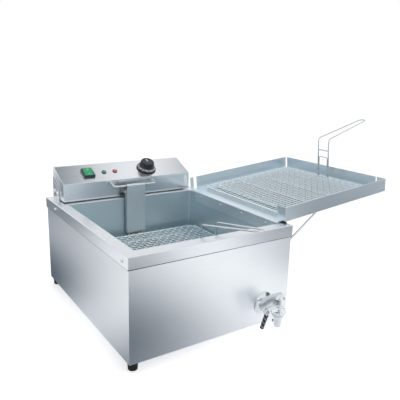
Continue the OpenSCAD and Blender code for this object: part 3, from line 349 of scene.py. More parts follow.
@dataclass(frozen=True)
class HeatedTube:
    """Steel tube that heat has tinted straw and grey in soft bands."""

    name: str
    tint: Colour
    straw: Colour
    rough_span: tuple[float, float] = (0.32, 0.5)
    band_scale: tuple[float, float, float] = (14.0, 22.0, 9.0)
    grit_scale: float = 500.0
    grit: float = 0.15
    grit_depth: float = 0.08 * MM

    def make(self) -> Material:
        """Builds the material."""
        sheet = NodeSheet(self.name)
        band = sheet.noise(self.band_scale, detail=4.0)
        grit = sheet.noise(self.grit_scale, detail=4.0)
        return sheet.surface({"Base Color": sheet.blend(sheet.span(band), self.tint, self.straw),
                              "Metallic": 1.0, "Roughness": sheet.span(grit, *self.rough_span),
                              "Normal": sheet.bump(grit, self.grit, self.grit_depth)})


FINISHES: dict[Slot, BrushedSheet | BrightPlate | Moulding | LampPlastic | HeatedTube] = {
    Slot.CASING: BrushedSheet("casing_brushed", (0.81, 0.843, 0.875), Grain.LEVEL, roughness=0.36),
    Slot.DECK: BrushedSheet("deck_brushed", (0.73, 0.765, 0.80), Grain.LEVEL, roughness=0.29, bump=0.008),
    Slot.TANK: BrushedSheet("tank_satin", (0.62, 0.74, 0.80), Grain.LEVEL, roughness=0.34, cloud=0.06,
                            metal=0.7),
    Slot.HEAD: BrushedSheet("head_brushed", (0.80, 0.83, 0.865), Grain.ALONG_X, roughness=0.25),
    # The tray's box is painted shade on its floor, under the tray basket's net.
    Slot.TRAY: BrushedSheet("tray_satin", (0.76, 0.85, 0.905), Grain.ALONG_X, roughness=0.30, metal=0.85,
                            painted_shade_box=((0.228, -0.197, 0.23), (0.530, 0.107, 0.300))),
    Slot.WIRE: BrightPlate("wire_plating", (0.86, 0.945, 0.985), roughness=0.18),
    Slot.TAP: BrightPlate("tap_plating", (0.74, 0.775, 0.80), roughness=0.05),
    Slot.FASTENER: BrightPlate("fastener_zinc", (0.82, 0.84, 0.86), roughness=0.16),
    Slot.RUBBER: Moulding("foot_rubber", (0.018, 0.018, 0.019), 0.72, grit_scale=700.0),
    Slot.BLACK: Moulding("black_moulding", (0.012, 0.016, 0.034), 0.30),
    Slot.ROCKER: LampPlastic("rocker_green", (0.004, 0.33, 0.13), 0.32),
    Slot.GREEN: LampPlastic("lens_green", (0.008, 0.30, 0.14), 0.30),
    Slot.AMBER: LampPlastic("lens_amber", (0.62, 0.12, 0.035), 0.30),
    Slot.ELEMENT: HeatedTube("element_tube", (0.30, 0.31, 0.32), (0.42, 0.37, 0.29)),
    Slot.COPPER: BrightPlate("bulb_copper", (0.72, 0.43, 0.27), roughness=0.3),
    Slot.IVORY: Moulding("terminal_ivory", (0.72, 0.69, 0.60), 0.5),
}


class Paint:
    """Finishes by slot, each built once."""

    def __init__(self) -> None:
        """Builds the record's finishes, the marks' white, the guard's grey and the rods' plating; the last
        two are darker copies that paint shade.
        """
        self.by_slot = {slot: finish.make() for slot, finish in FINISHES.items()}
        self.white = Moulding("mark_white", (0.92, 0.93, 0.94), 0.45).make()
        # Painted shade: a darker, bluer copy of the sheet steel for the element guard.
        self.guard = BrushedSheet("guard_painted_shade", (0.68, 0.76, 0.80), Grain.UPRIGHT, roughness=0.36,
                                  metal=0.75).make()
        # Painted shade: a darker copy of the wire plating for the handles, the prop and the hanger bar.
        self.handle = BrightPlate("handle_plating_painted_shade", (0.66, 0.69, 0.71), roughness=0.14).make()

    def dress(self, piece: Object, slot: Slot) -> None:
        """Gives a piece one finish.

        Args:
            piece: The object.
            slot: The record's slot.
        """
        piece.data.materials.clear()
        piece.data.materials.append(self.by_slot[slot])


def show(thing: Object) -> None:
    """Puts an object into the scene."""
    bpy.context.scene.collection.objects.link(thing)


def full_turn(count: int) -> list[float]:
    """Gives equally spaced angles round a full turn."""
    return [tau * i / count for i in range(count)]


def ring(radii: float | Sequence[float], z: float, angles: Sequence[float]) -> list[Point]:
    """Gives a level ring of points about the Z axis."""
    each = [radii] * len(angles) if isinstance(radii, float) else radii
    return [(r * cos(a), r * sin(a), z) for r, a in zip(each, angles)]


def rounded_ring(box: Four, corner: float, z: float, steps: int = 4) -> list[Point]:
    """Gives a level ring of points round a rectangle with round corners.

    Args:
        box: Lowest X and Y and highest X and Y.
        corner: Radius of the corners.
        z: Height of the ring.
        steps: Steps in each corner.

    Returns:
        The ring's points, the same number for every rectangle.
    """
    x0, y0, x1, y1 = box
    points = []
    for k, (x, y) in enumerate(((x1 - corner, y1 - corner), (x0 + corner, y1 - corner),
                                (x0 + corner, y0 + corner), (x1 - corner, y0 + corner))):
        for i in range(steps + 1):
            a = QUARTER * (k + i / steps)
            points.append((x + corner * cos(a), y + corner * sin(a), z))
    return points


def section(r: float, z: float, steps: Steps) -> list[tuple[float, float]]:
    """Gives corners of a turned section, as steps outwards and upwards from a radius and a height."""
    return [(r + out, z + up) for out, up in steps]


@dataclass
class Shape:
    """Corners and faces of a mesh while it is being built, in millimetres."""

    corners: list[Point] = field(default_factory=list)
    faces: list[tuple[int, ...]] = field(default_factory=list)

    @classmethod
    def taken_from(cls, helper: Object) -> Shape:
        """Takes the final mesh of a helper object, and removes the helper.

        Args:
            helper: The object, with its modifiers or its text.

        Returns:
            The shape.
        """
        show(helper)
        final = helper.evaluated_get(bpy.context.evaluated_depsgraph_get())
        mesh = bpy.data.meshes.new_from_object(final)
        shape = cls([tuple(v.co / MM) for v in mesh.vertices], [tuple(p.vertices) for p in mesh.polygons])
        source = helper.data
        bpy.data.objects.remove(helper)
        bpy.data.batch_remove((source, mesh))
        return shape

    def mesh(self, name: str) -> bpy.types.Mesh:
        """Makes the mesh, in metres.

        Args:
            name: Its name.

        Returns:
            The mesh.
        """
        mesh = bpy.data.meshes.new(name)
        mesh.from_pydata([(x * MM, y * MM, z * MM) for x, y, z in self.corners], [], self.faces)
        return mesh

    def grid(self, rows: Sequence[Sequence[Point]], close_grid: bool = False, cap: bool = False) -> Shape:
        """Adds a skin over rings of points.

        Args:
            rows: Rings with equally many points each.
            close_grid: Whether the last ring joins the first.
            cap: Whether the first and last rings get a lid.

        Returns:
            This shape.
        """
        base, count = len(self.corners), len(rows[0])
        for row in rows:
            self.corners.extend(row)
        for i in range(len(rows) if close_grid else len(rows) - 1):
            a, b = base + i * count, base + ((i + 1) % len(rows)) * count
            for j in range(count):
                k = (j + 1) % count
                self.faces.append((a + j, a + k, b + k, b + j))
        if cap:
            end = base + (len(rows) - 1) * count
            self.faces.append(tuple(base + j for j in reversed(range(count))))
            self.faces.append(tuple(end + j for j in range(count)))
        return self

    def lathe(self, profile: Sequence[tuple[float, float]], segments: int,
              radius: Callable[[float, float, float], float] | None = None) -> Shape:
        """Adds a form turned about Z, from its lower middle to its upper middle.

        Args:
            profile: Radius and height of each ring.
            segments: Corners of a ring.
            radius: Changes a ring's radius, given radius, height and angle.

        Returns:
            This shape.
        """
        angles = full_turn(segments)
        rows = [ring([radius(r, z, a) for a in angles] if radius else r, z, angles) for r, z in profile]
        return self.grid(rows, cap=True)

    def tube(self, path: Sequence[Point], r: float | Sequence[float], sides: int, side: Point) -> Shape:
        """Adds a wire or a tapering horn along a path.

        Args:
            path: Points of its middle.
            r: Its radius, or the radius at each point.
            sides: Corners of its section.
            side: A direction that is never along the path.

        Returns:
            This shape.
        """
        points = [Vector(p) for p in path]
        radii = [r] * len(points) if isinstance(r, float) else r
        rows = []
        for i, p in enumerate(points):
            ahead = (points[min(i + 1, len(points) - 1)] - points[max(i - 1, 0)]).normalized()
            u = Vector(side).cross(ahead).normalized()
            v = ahead.cross(u)
            rows.append([tuple(p + radii[i] * (cos(a) * u + sin(a) * v)) for a in full_turn(sides)])
        return self.grid(rows, cap=True)

    def moved(self, matrix: Matrix) -> Shape:
        """Gives a moved copy."""
        return Shape([tuple(matrix @ Vector(c)) for c in self.corners], list(self.faces))

    def join(self, other: Shape) -> Shape:
        """Adds another shape.

        Args:
            other: The shape to add.

        Returns:
            This shape.
        """
        base = len(self.corners)
        self.corners.extend(other.corners)
        self.faces.extend(tuple(base + i for i in f) for f in other.faces)
        return self

    def fused(self, voxel: float, rounds: int) -> Shape:
        """Melts overlapping closed forms into one casting with soft inner corners.

        Args:
            voxel: Size of the cells that the forms are rebuilt from.
            rounds: Rounds of smoothing.

        Returns:
            The casting.
        """
        helper = bpy.data.objects.new("casting", self.mesh("casting"))
        melt = helper.modifiers.new("melt", "REMESH")
        melt.mode, melt.voxel_size = "VOXEL", voxel * MM
        soft = helper.modifiers.new("soft", "SMOOTH")
        soft.iterations = rounds
        return Shape.taken_from(helper)

    def piece(self, name: str, body: str, smooth_angle: float = SHARP_ANGLE) -> Object:
        """Makes the object and lets it ride on a body.

        Args:
            name: Name of the piece.
            body: Body that it moves with.
            smooth_angle: Edges sharper than this stay sharp, in degrees.

        Returns:
            The object.
        """
        mesh = self.mesh(name)
        form = bmesh.new()
        form.from_mesh(mesh)
        bmesh.ops.recalc_face_normals(form, faces=form.faces)
        form.to_mesh(mesh)
        form.free()
        mesh.update()
        mesh.polygons.foreach_set("use_smooth", [True] * len(mesh.polygons))
        mesh.set_sharp_from_angle(angle=radians(smooth_angle))
        obj = bpy.data.objects.new(name, mesh)
        show(obj)
        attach(obj, body)
        LOG.info("%s: %d faces on %s", name, len(mesh.polygons), body)
        return obj


def plate(width: float, length: float, height: float) -> Shape:
    """Makes a thin plate that stands on Z = 0 about the origin."""
    x, y = width / 2, length / 2
    return Shape().grid([[(-x, -y, z), (x, -y, z), (x, y, z), (-x, y, z)] for z in (0.0, height)], cap=True)


def numeral(number: str, height: float, relief: float) -> Shape:
    """Makes a raised number in bold digits about the origin, on Z = 0.

    Args:
        number: Its digits.
        height: Size of the digits.
        relief: How far they are raised.

    Returns:
        The number.
    """
    weight = 0.03
    curve = bpy.data.curves.new("digits", "FONT")
    curve.body, curve.size = number, height * MM
    curve.align_x, curve.align_y = "CENTER", "CENTER"
    curve.extrude, curve.offset = relief * MM, height * MM * weight
    curve.resolution_u = 3
    return Shape.taken_from(bpy.data.objects.new("digits", curve))


def facing(place: Point, direction: str) -> Matrix:
    """Gives a frame whose Z points out of a wall."""
    axis, angle = WALL_TURNS[direction]
    return Matrix.Translation(place) @ Matrix.Rotation(angle, 4, axis)


class Trim(ABC):
    """Trim that rides on the frame's bodies."""

    @abstractmethod
    def build(self, paint: Paint) -> None:
        """Builds the trim's pieces.

        Args:
            paint: The finishes.
        """


@dataclass
class WovenBasket(Trim):
    """A basket's net of crimped wires, whose ends curl round the rim rod."""

    name: str
    place: Matrix
    width: float = 330.0
    depth: float = 324.0
    rod: float = 5.0
    rod_height: float = 6.9
    wire: float = 2.2
    crimp: float = 1.0
    pitch: float = 11.6
    margin: float = 15.0
    sides: int = 8
    curl_steps: int = 5
    curl_end: float = radians(-75)

    def wire_path(self, half: float, across: float, turn: int, count: int) -> list[Point]:
        """Draws one wire along X.

        Args:
            half: Half the distance between the two rim rods.
            across: Place of the wire across the net.
            turn: 1 if the wire starts under its first neighbour, or -1 if it starts over it.
            count: Number of neighbours that it crosses.

        Returns:
            The wire's points.
        """
        reach = self.rod / 2 + self.wire / 2
        mid = self.rod_height + reach + self.crimp
        curl = []
        for i in range(self.curl_steps + 1):
            a = self.curl_end + (QUARTER - self.curl_end) * i / self.curl_steps
            curl.append((half + reach * cos(a), self.rod_height + reach * sin(a)))
        path = [(-x, across, z) for x, z in curl]
        for i in range(count):
            x = (i - (count - 1) / 2) * self.pitch
            path.append((x, across, mid + self.crimp * turn * (1 if i % 2 else -1)))
            if i + 1 < count:
                path.append((x + self.pitch / 2, across, mid))
        path.extend((x, across, z) for x, z in reversed(curl))
        return path

    def build(self, paint: Paint) -> None:
        """Weaves the net, first the wires along X and then those along Y."""
        halves = [(size - self.rod) / 2 for size in (self.width, self.depth)]
        counts = [int((2 * half - self.margin) / self.pitch) for half in halves]
        shape = Shape()
        for axis, sign in ((0, 1), (1, -1)):
            layer, wires = Shape(), counts[1 - axis]
            for i in range(wires):
                across = sign * (i - (wires - 1) / 2) * self.pitch
                path = self.wire_path(halves[axis], across, sign if i % 2 else -sign, counts[axis])
                layer.tube(path, self.wire / 2, self.sides, (0, 1, 0))
            shape.join(layer.moved(Matrix.Rotation(axis * QUARTER, 4, "Z")))
        net = shape.moved(self.place).piece(self.name + "_woven_net", self.name, ROUND_FORM_ANGLE)
        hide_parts(self.name + "_net")
        paint.dress(net, Slot.WIRE)


@dataclass
class ControlPanel(Trim):
    """The sloping panel's controls: the knob with its dial marks, and the marks on the rocker."""

    tilt: float = radians(24.6)
    front: float = 167.0
    lower_edge: float = 298.1
    row: float = 39.0
    knob_x: float = 65.0
    skirt: float = 28.0
    grip: float = 20.0
    height: float = 25.0
    lift: float = 1.0
    core: float = 0.5
    hem: Steps = ((-0.7, 0.0), (0.0, 0.6))
    cone: Four = (20.9, 11.5, 27.5, 3.4)
    cone_drop: float = 0.5
    collar: Steps = ((1.4, 0.3), (1.1, 0.8), (1.1, 1.8), (0.7, 2.2), (0.0, 2.4), (-0.1, 4.0), (-0.3, 6.0))
    crown: Steps = ((-0.6, -4.4), (-1.2, -2.2), (-2.3, -0.8), (-3.8, 0.0), (-5.2, -0.1), (-6.0, -1.0))
    flutes: int = 18
    flute_points: int = 10
    flute_depth: float = 1.3
    flute_start: float = 2.4
    flute_run: float = 2.6
    flute_rim: float = 3.0
    numbers: tuple[str, ...] = ("0", "60", "80", "100", "120", "140", "160", "180", "200")
    first_angle: float = radians(-225)
    step_angle: float = radians(33.75)
    number_h: float = 6.6
    number_r: float = 24.3
    tick: tuple[float, float] = (2.0, 6.4)
    tick_r: float = 24.6
    relief: float = 0.12
    pointer: tuple[float, float, float] = (2.6, 11.0, 0.3)
    pointer_y: float = 6.0
    pointer_sunk: float = 1.05
    switch_x: float = -110.0
    rocker_pivot: float = 2.5
    rocker_tilt: float = radians(10)
    rocker_half: float = 15.0
    rocker_waist: float = 4.2
    rocker_end: float = 6.0
    mark_y: float = 8.0
    bar: tuple[float, float, float] = (1.1, 5.0, 0.1)
    circle: tuple[float, float] = (2.0, 2.6)
    circle_points: int = 32

    def frame(self, x: float) -> Matrix:
        """Gives the panel's frame at a place across it, with Z off the panel."""
        y, z = self.front + self.row * cos(self.tilt), self.lower_edge + self.row * sin(self.tilt)
        return Matrix.Translation((x, y, z)) @ Matrix.Rotation(self.tilt, 4, "X")

    def fluted(self, r: float, z: float, a: float) -> float:
        """Cuts the grip's flutes.

        Args:
            r: Radius of the plain knob.
            z: Height on the knob.
            a: Angle round the knob.

        Returns:
            The radius with the flutes cut in.
        """
        up = z - self.cone[1] - self.flute_start
        if r < self.grip - self.flute_rim or up < 0:
            return r
        depth = self.flute_depth * min(1.0, up / self.flute_run)
        return r - depth * (0.5 + 0.5 * cos(self.flutes * a)) ** 3

    def knob(self, paint: Paint) -> None:
        """Turns the knob with its conical skirt, collar and fluted grip.

        Args:
            paint: The finishes.
        """
        inner, high, outer, low = self.cone
        profile = [(self.core, self.lift)] + section(self.skirt, self.lift, self.hem)
        profile += [(self.skirt, low - self.cone_drop), (outer, low), (inner, high)]
        profile += section(self.grip, high, self.collar) + section(self.grip, self.height, self.crown)
        profile.append((self.core, profile[-1][1]))
        shape = Shape().lathe(profile, self.flutes * self.flute_points, self.fluted)
        knob = shape.moved(self.frame(self.knob_x)).piece("thermostat_dial_knob", "thermostat_dial")
        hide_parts("thermostat_knob")
        paint.dress(knob, Slot.BLACK)

    def on_skirt(self, angle: float, radius: float) -> Matrix:
        """Gives a frame on the knob's skirt, with Y towards the grip and Z off the skirt.

        Args:
            angle: Angle round the knob.
            radius: Distance from the knob's axis.

        Returns:
            The frame.
        """
        inner, high, outer, low = self.cone
        out = Vector((cos(angle), sin(angle), 0.0))
        fall = ((outer - inner) * out + Vector((0, 0, low - high))).normalized()
        normal = ((high - low) * out + Vector((0, 0, outer - inner))).normalized()
        height = high + (low - high) * (radius - inner) / (outer - inner)
        turn = Matrix(((-fall).cross(normal), -fall, normal)).transposed().to_4x4()
        return Matrix.Translation(radius * out + Vector((0, 0, height))) @ turn

    def dial_marks(self, paint: Paint) -> None:
        """Prints the temperatures and ticks on the skirt, and the pointer on the grip.

        Args:
            paint: The finishes.
        """
        shape = Shape()
        for i, number in enumerate(self.numbers):
            angle = self.first_angle + i * self.step_angle
            digits = numeral(number, self.number_h, self.relief)
            shape.join(digits.moved(self.on_skirt(angle, self.number_r)))
            if i + 1 < len(self.numbers):
                between = self.on_skirt(angle + self.step_angle / 2, self.tick_r)
                shape.join(plate(*self.tick, self.relief).moved(between))
        top = Matrix.Translation((0, self.pointer_y, self.height - self.pointer_sunk))
        shape.join(plate(*self.pointer).moved(top))
        marks = shape.moved(self.frame(self.knob_x)).piece("thermostat_dial_marks", "thermostat_dial")
        marks.data.materials.append(paint.white)

    def rocker_marks(self, paint: Paint) -> None:
        """Prints a bar and a ring on the rocker's two ends.

        Args:
            paint: The finishes.
        """
        rock = Matrix.Translation((0, 0, self.rocker_pivot)) @ Matrix.Rotation(self.rocker_tilt, 4, "X")
        lean = atan2(self.rocker_end - self.rocker_waist, self.rocker_half)
        height = self.rocker_waist + self.mark_y * tan(lean)
        inner, outer = self.circle
        rows = [ring(r, z, full_turn(self.circle_points))
                for r, z in ((inner, 0.0), (outer, 0.0), (outer, self.bar[2]), (inner, self.bar[2]))]
        shape = Shape()
        for mark, end in ((plate(*self.bar), -1), (Shape().grid(rows, close_grid=True), 1)):
            place = Matrix.Translation((0, end * self.mark_y, height))
            shape.join(mark.moved(place @ Matrix.Rotation(end * lean, 4, "X")))
        marks = shape.moved(self.frame(self.switch_x) @ rock).piece("rocker_marks", "switch_rocker")
        marks.data.materials.append(paint.white)

    def build(self, paint: Paint) -> None:
        """Builds the knob and the marks."""
        self.knob(paint)
        self.dial_marks(paint)
        self.rocker_marks(paint)


@dataclass
class ScrewRow(Trim):
    """Pan-head screws with a cross recess, and perhaps a nut, that stand for a node of plain screws."""

    name: str
    node: str
    body: str
    places: list[Matrix]
    head_d: float = 7.0
    head_h: float = 2.2
    shank_d: float = 3.5
    shank: float = 5.0
    nut: float = 0.0
    nut_sides: int = 6
    nut_share: float = 0.9
    nut_edge: float = 0.4
    nut_inset: float = 1.0
    arm_share: float = 0.27
    slot_share: float = 0.055
    dome: Steps = ((1.0, 0.0), (1.0, 0.35), (0.94, 0.62), (0.80, 0.86), (0.64, 1.0))
    recess: Steps = ((1.0, 1.0), (0.8, 0.25))
    first_turn: float = 0.37
    next_turn: float = 1.13

    def screw(self) -> Shape:
        """Makes one screw with its head on Z = 0."""
        arm, half = self.head_d * self.arm_share, self.head_d * self.slot_share
        tip, eighth, twelfth = atan2(half, arm), pi / 4, pi / 6
        angles = [QUARTER * q + a for q in range(4) for a in (-eighth, -twelfth, -tip, 0.0, tip, twelfth)]
        cross = []
        for a in angles:
            b = (a + eighth) % QUARTER - eighth
            cross.append(arm / cos(b) if abs(b) <= tip + TINY else half / abs(sin(b)))
        rows = [ring(self.shank_d / 2, z, angles) for z in (-self.shank, 0.0)]
        rows += [ring(self.head_d / 2 * share, self.head_h * up, angles) for share, up in self.dome]
        rows += [ring([q * share for q in cross], self.head_h * up, angles) for share, up in self.recess]
        shape = Shape().grid(rows, cap=True)
        if self.nut:
            side, low, edge = self.head_d / 2, self.nut_inset - self.shank, self.nut_edge
            end, top = side * self.nut_share, low + self.nut
            shape.lathe([(AXIS_R, low), (end, low), (side, low + edge), (side, top - edge), (end, top),
                         (AXIS_R, top)], self.nut_sides)
        return shape

    def build(self, paint: Paint) -> None:
        """Sets a screw at each place, each turned a little further."""
        shape, screw = Shape(), self.screw()
        for i, place in enumerate(self.places):
            shape.join(screw.moved(place @ Matrix.Rotation(self.first_turn + self.next_turn * i, 4, "Z")))
        screws = shape.piece(self.name, self.body)
        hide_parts(self.node)
        paint.dress(screws, Slot.FASTENER)


def on_wall(direction: str, xs: Sequence[float], ys: Sequence[float], zs: Sequence[float]) -> list[Matrix]:
    """Gives frames on a wall at every combination of places."""
    return [facing((x, y, z), direction) for x in xs for y in ys for z in zs]


def on_both_sides(x: float, ys: Sequence[float], z: float) -> list[Matrix]:
    """Gives frames on the left and the right side."""
    return on_wall("-X", (-x,), ys, (z,)) + on_wall("+X", (x,), ys, (z,))


def screw_rows() -> list[ScrewRow]:
    """Lists the fryer's rows of screws."""
    bolt = {"head_d": 10.5, "head_h": 3.6, "shank_d": 6.0, "nut": 4.8}
    pivots, guides = on_both_sides(191.2, (240.0,), 267.6), on_both_sides(191.5, (209.0,), 267.6)
    skirt = on_both_sides(210.0, (-232.0, 177.0), 234.42)
    rear = on_wall("+Y", (-198.3, 198.3), (254.5,), (44.0, 133.25, 210.5))
    cover = on_wall("+Y", (-181.8, 181.8), (250.0,), (275.6, 315.4))
    saddle = on_wall("+X", (209.0,), (-211.5, 121.5), (175.5, 198.5))
    return [ScrewRow("hinge_pivot_screws", "pivot_bolts", "casing", pivots, shank=9.5, **bolt),
            ScrewRow("hinge_guide_screws", "guide_bolts", "control_head", guides, shank=9.8, **bolt),
            ScrewRow("skirt_screws", "surround_screws", "casing", skirt),
            ScrewRow("rear_screws", "rear_panel_screws", "casing", rear),
            ScrewRow("cover_screws", "back_cover_screws", "control_head", cover),
            ScrewRow("hinge_saddle_screws", "saddle_screws", "casing", saddle)]


@dataclass
class TapLeverGrip(Trim):
    """Black grip on the tap's lever, with two bright wires wound round it in spiral grooves."""

    origin: Point = (103.7, -305.5, 80.0)
    lean: float = radians(18)
    length: float = 52.0
    start: float = 12.0
    radius: float = 5.0
    bore: float = 2.55
    edge: float = 1.2
    edge_out: float = 0.35
    groove: float = 0.9
    groove_end: float = 2.0
    lead: float = 12.0
    steps: int = 88
    segments: int = 40
    wire: float = 0.6
    wire_sunk: float = 0.45
    wire_end: float = 3.0
    wire_steps: int = 96
    wire_sides: int = 8

    def grooved(self, r: float, z: float, a: float) -> float:
        """Cuts the two spiral grooves.

        Args:
            r: Radius of the plain grip.
            z: Height on the grip.
            a: Angle round the grip.

        Returns:
            The radius with the grooves cut in.
        """
        full = min(1.0, (z + self.length) / self.groove_end, (-self.start - z) / self.groove_end)
        wave = 0.5 + 0.5 * cos(2 * a + tau * z / self.lead)
        return r - self.groove * max(0.0, full) * wave ** 2

    def winding(self) -> Shape:
        """Winds the two wires in the grooves."""
        shape = Shape()
        low, high = self.wire_end - self.length, -self.start - self.wire_end
        for begin in (QUARTER, -QUARTER):
            path = []
            for i in range(self.wire_steps + 1):
                z = low + (high - low) * i / self.wire_steps
                path += ring(self.radius - self.wire_sunk, z, (begin - pi * z / self.lead,))
            shape.tube(path, self.wire, self.wire_sides, (0, 0, 1))
        return shape

    def build(self, paint: Paint) -> None:
        """Builds the grip and its winding, which reflections leave out."""
        r, low, high, edge, out = self.radius, -self.length, -self.start, self.edge, self.edge_out
        profile = [(AXIS_R, low), (r - edge, low), (r - out, low + out)]
        profile += [(r, low + edge + (high - low - 2 * edge) * i / self.steps) for i in range(self.steps + 1)]
        profile += [(r - out, high - out), (r - edge, high), (self.bore, high)]
        place = Matrix.Translation(self.origin) @ Matrix.Rotation(self.lean, 4, "X")
        shape = Shape().lathe(profile, self.segments, self.grooved)
        grip = shape.moved(place).piece("lever_grip", "drain_valve", ROUND_FORM_ANGLE)
        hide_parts("lever_sleeve")
        paint.dress(grip, Slot.BLACK)
        winding = self.winding().moved(place).piece("lever_grip_winding", "drain_valve", ROUND_FORM_ANGLE)
        paint.dress(winding, Slot.FASTENER)
        grip.visible_glossy = winding.visible_glossy = False


@dataclass
class DeckSurround(Trim):
    """Deck sheet folded down into a skirt, with the tank's opening, and a dark rubber strip under the skirt
    that paints the shadow there.
    """

    width: float = 420.0
    depth: float = 514.0
    top: float = 249.0
    skirt: float = 27.0
    sheet: float = 1.5
    fold: float = 2.0
    fold_steps: int = 5
    corner: float = 2.2
    least_corner: float = 0.3
    opening: Four = (-183.5, -230.0, 183.5, 149.5)
    opening_corner: float = 5.0
    edge: float = 0.5
    edge_share: float = 0.3
    flat: float = 0.4
    shadow_strip_gap: float = 0.1
    shadow_strip_out: float = 1.0
    shadow_strip_in: float = 2.4
    shadow_strip_h: float = 1.6
    shadow_strip_edge: tuple[float, float] = (0.5, 0.7)

    def outer(self, inset: float, z: float) -> list[Point]:
        """Gives a ring inside the skirt's outer faces."""
        x, y = self.width / 2 - inset, self.depth / 2 - inset
        return rounded_ring((-x, -y, x, y), max(self.corner - inset, self.least_corner), z)

    def inner(self, margin: float, z: float) -> list[Point]:
        """Gives a ring round the tank's opening.

        Args:
            margin: Distance outside the opening.
            z: Height of the ring.

        Returns:
            The ring.
        """
        x0, y0, x1, y1 = self.opening
        box = (x0 - margin, y0 - margin, x1 + margin, y1 + margin)
        return rounded_ring(box, self.opening_corner + margin, z)

    def build(self, paint: Paint) -> None:
        """Folds the deck and lays the dark strip of painted shade under the skirt."""
        low, top, edge, fold = self.top - self.skirt, self.top, self.edge, self.fold
        soft, small = self.edge_share * edge, fold - self.sheet
        arcs = [QUARTER * i / self.fold_steps for i in range(self.fold_steps + 1)]
        rows = [self.outer(edge, low), self.outer(soft, low + soft), self.outer(0.0, low + edge),
                self.outer(0.0, low + edge + self.flat), self.outer(0.0, top - fold - self.flat)]
        rows += [self.outer(fold * (1 - cos(a)), top - fold * (1 - sin(a))) for a in arcs]
        rows += [self.outer(fold + self.flat, top), self.inner(edge + self.flat, top), self.inner(edge, top),
                 self.inner(soft, top - soft), self.inner(0.0, top - edge), self.inner(0.0, top - self.sheet)]
        rows += [self.outer(self.sheet + small * (1 - cos(a)), top - fold + small * sin(a))
                 for a in reversed(arcs)]
        rows.append(self.outer(self.sheet, low))
        deck = Shape().grid(rows, close_grid=True).piece("deck_sheet", "casing")
        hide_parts("top_surround")
        paint.dress(deck, Slot.DECK)
        # Painted shade: a dark rubber strip stands in for the shadow line under the skirt.
        high, (inset, share) = low - self.shadow_strip_gap, self.shadow_strip_edge
        rows = [self.outer(self.shadow_strip_out, high), self.outer(self.shadow_strip_out, high - share * self.shadow_strip_h),
                self.outer(self.shadow_strip_out + inset, high - self.shadow_strip_h),
                self.outer(self.shadow_strip_in, high - self.shadow_strip_h), self.outer(self.shadow_strip_in, high)]
        shadow_strip = Shape().grid(rows, close_grid=True).piece("skirt_shadow_strip", "casing")
        paint.dress(shadow_strip, Slot.RUBBER)


@dataclass
class RubberFoot(Trim):
    """Moulded feet with a rolled edge and the recess for their screws."""

    place: tuple[float, float] = (193.5, 240.5)
    height: float = 19.0
    radius: float = 11.0
    recess: float = 5.5
    recess_h: float = 7.6
    hole: float = 2.6
    edge: float = 0.7
    sole: Steps = ((-2.4, 0.0), (-1.5, 0.4), (-1.0, 1.5))
    waist_inset: float = 0.35
    waist_share: float = 0.6
    bulge_share: float = 0.75
    shoulder: Steps = ((0.0, -1.6), (-0.4, -0.5), (-1.2, 0.0))
    segments: int = 48

    def build(self, paint: Paint) -> None:
        """Moulds the four feet."""
        r, h = self.radius, self.height
        profile = [(self.hole, h), (self.hole, self.recess_h), (self.recess, self.recess_h),
                   (self.recess, self.edge), (self.recess + self.edge, 0.0)]
        profile += section(r, 0.0, self.sole) + [(r - self.waist_inset, h * self.waist_share)]
        profile += [(r, h * self.bulge_share)] + section(r, h, self.shoulder)
        angles = full_turn(self.segments)
        foot = Shape().grid([ring(q, z, angles) for q, z in profile], close_grid=True)
        x, y = self.place
        shape = Shape()
        for corner in ((-x, -y), (-x, y), (x, -y), (x, y)):
            shape.join(foot.moved(Matrix.Translation((*corner, 0.0))))
        feet = shape.piece("moulded_feet", "casing")
        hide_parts("rubber_feet")
        paint.dress(feet, Slot.RUBBER)


@dataclass
class TrayCornerPad(Trim):
    """Dark rubber pad that fills the gap under the tray's front corner, above the deck's edge."""

    low: Point = (201.2, -238.5, 249.3)
    size: tuple[float, float] = (6.0, 26.0)
    height: float = 3.3
    corner: float = 2.4
    edge: float = 0.8
    edge_share: float = 0.3

    def build(self, paint: Paint) -> None:
        """Moulds the pad."""
        x, y, z = self.low
        width, depth = self.size
        soft = self.edge_share * self.edge
        rows = [rounded_ring((x + inset, y + inset, x + width - inset, y + depth - inset),
                             self.corner - inset, z + up)
                for inset, up in ((self.edge, 0.0), (soft, soft), (0.0, self.edge), (0.0, self.height))]
        pad = Shape().grid(rows, cap=True).piece("tray_corner_pad", "tray")
        paint.dress(pad, Slot.RUBBER)


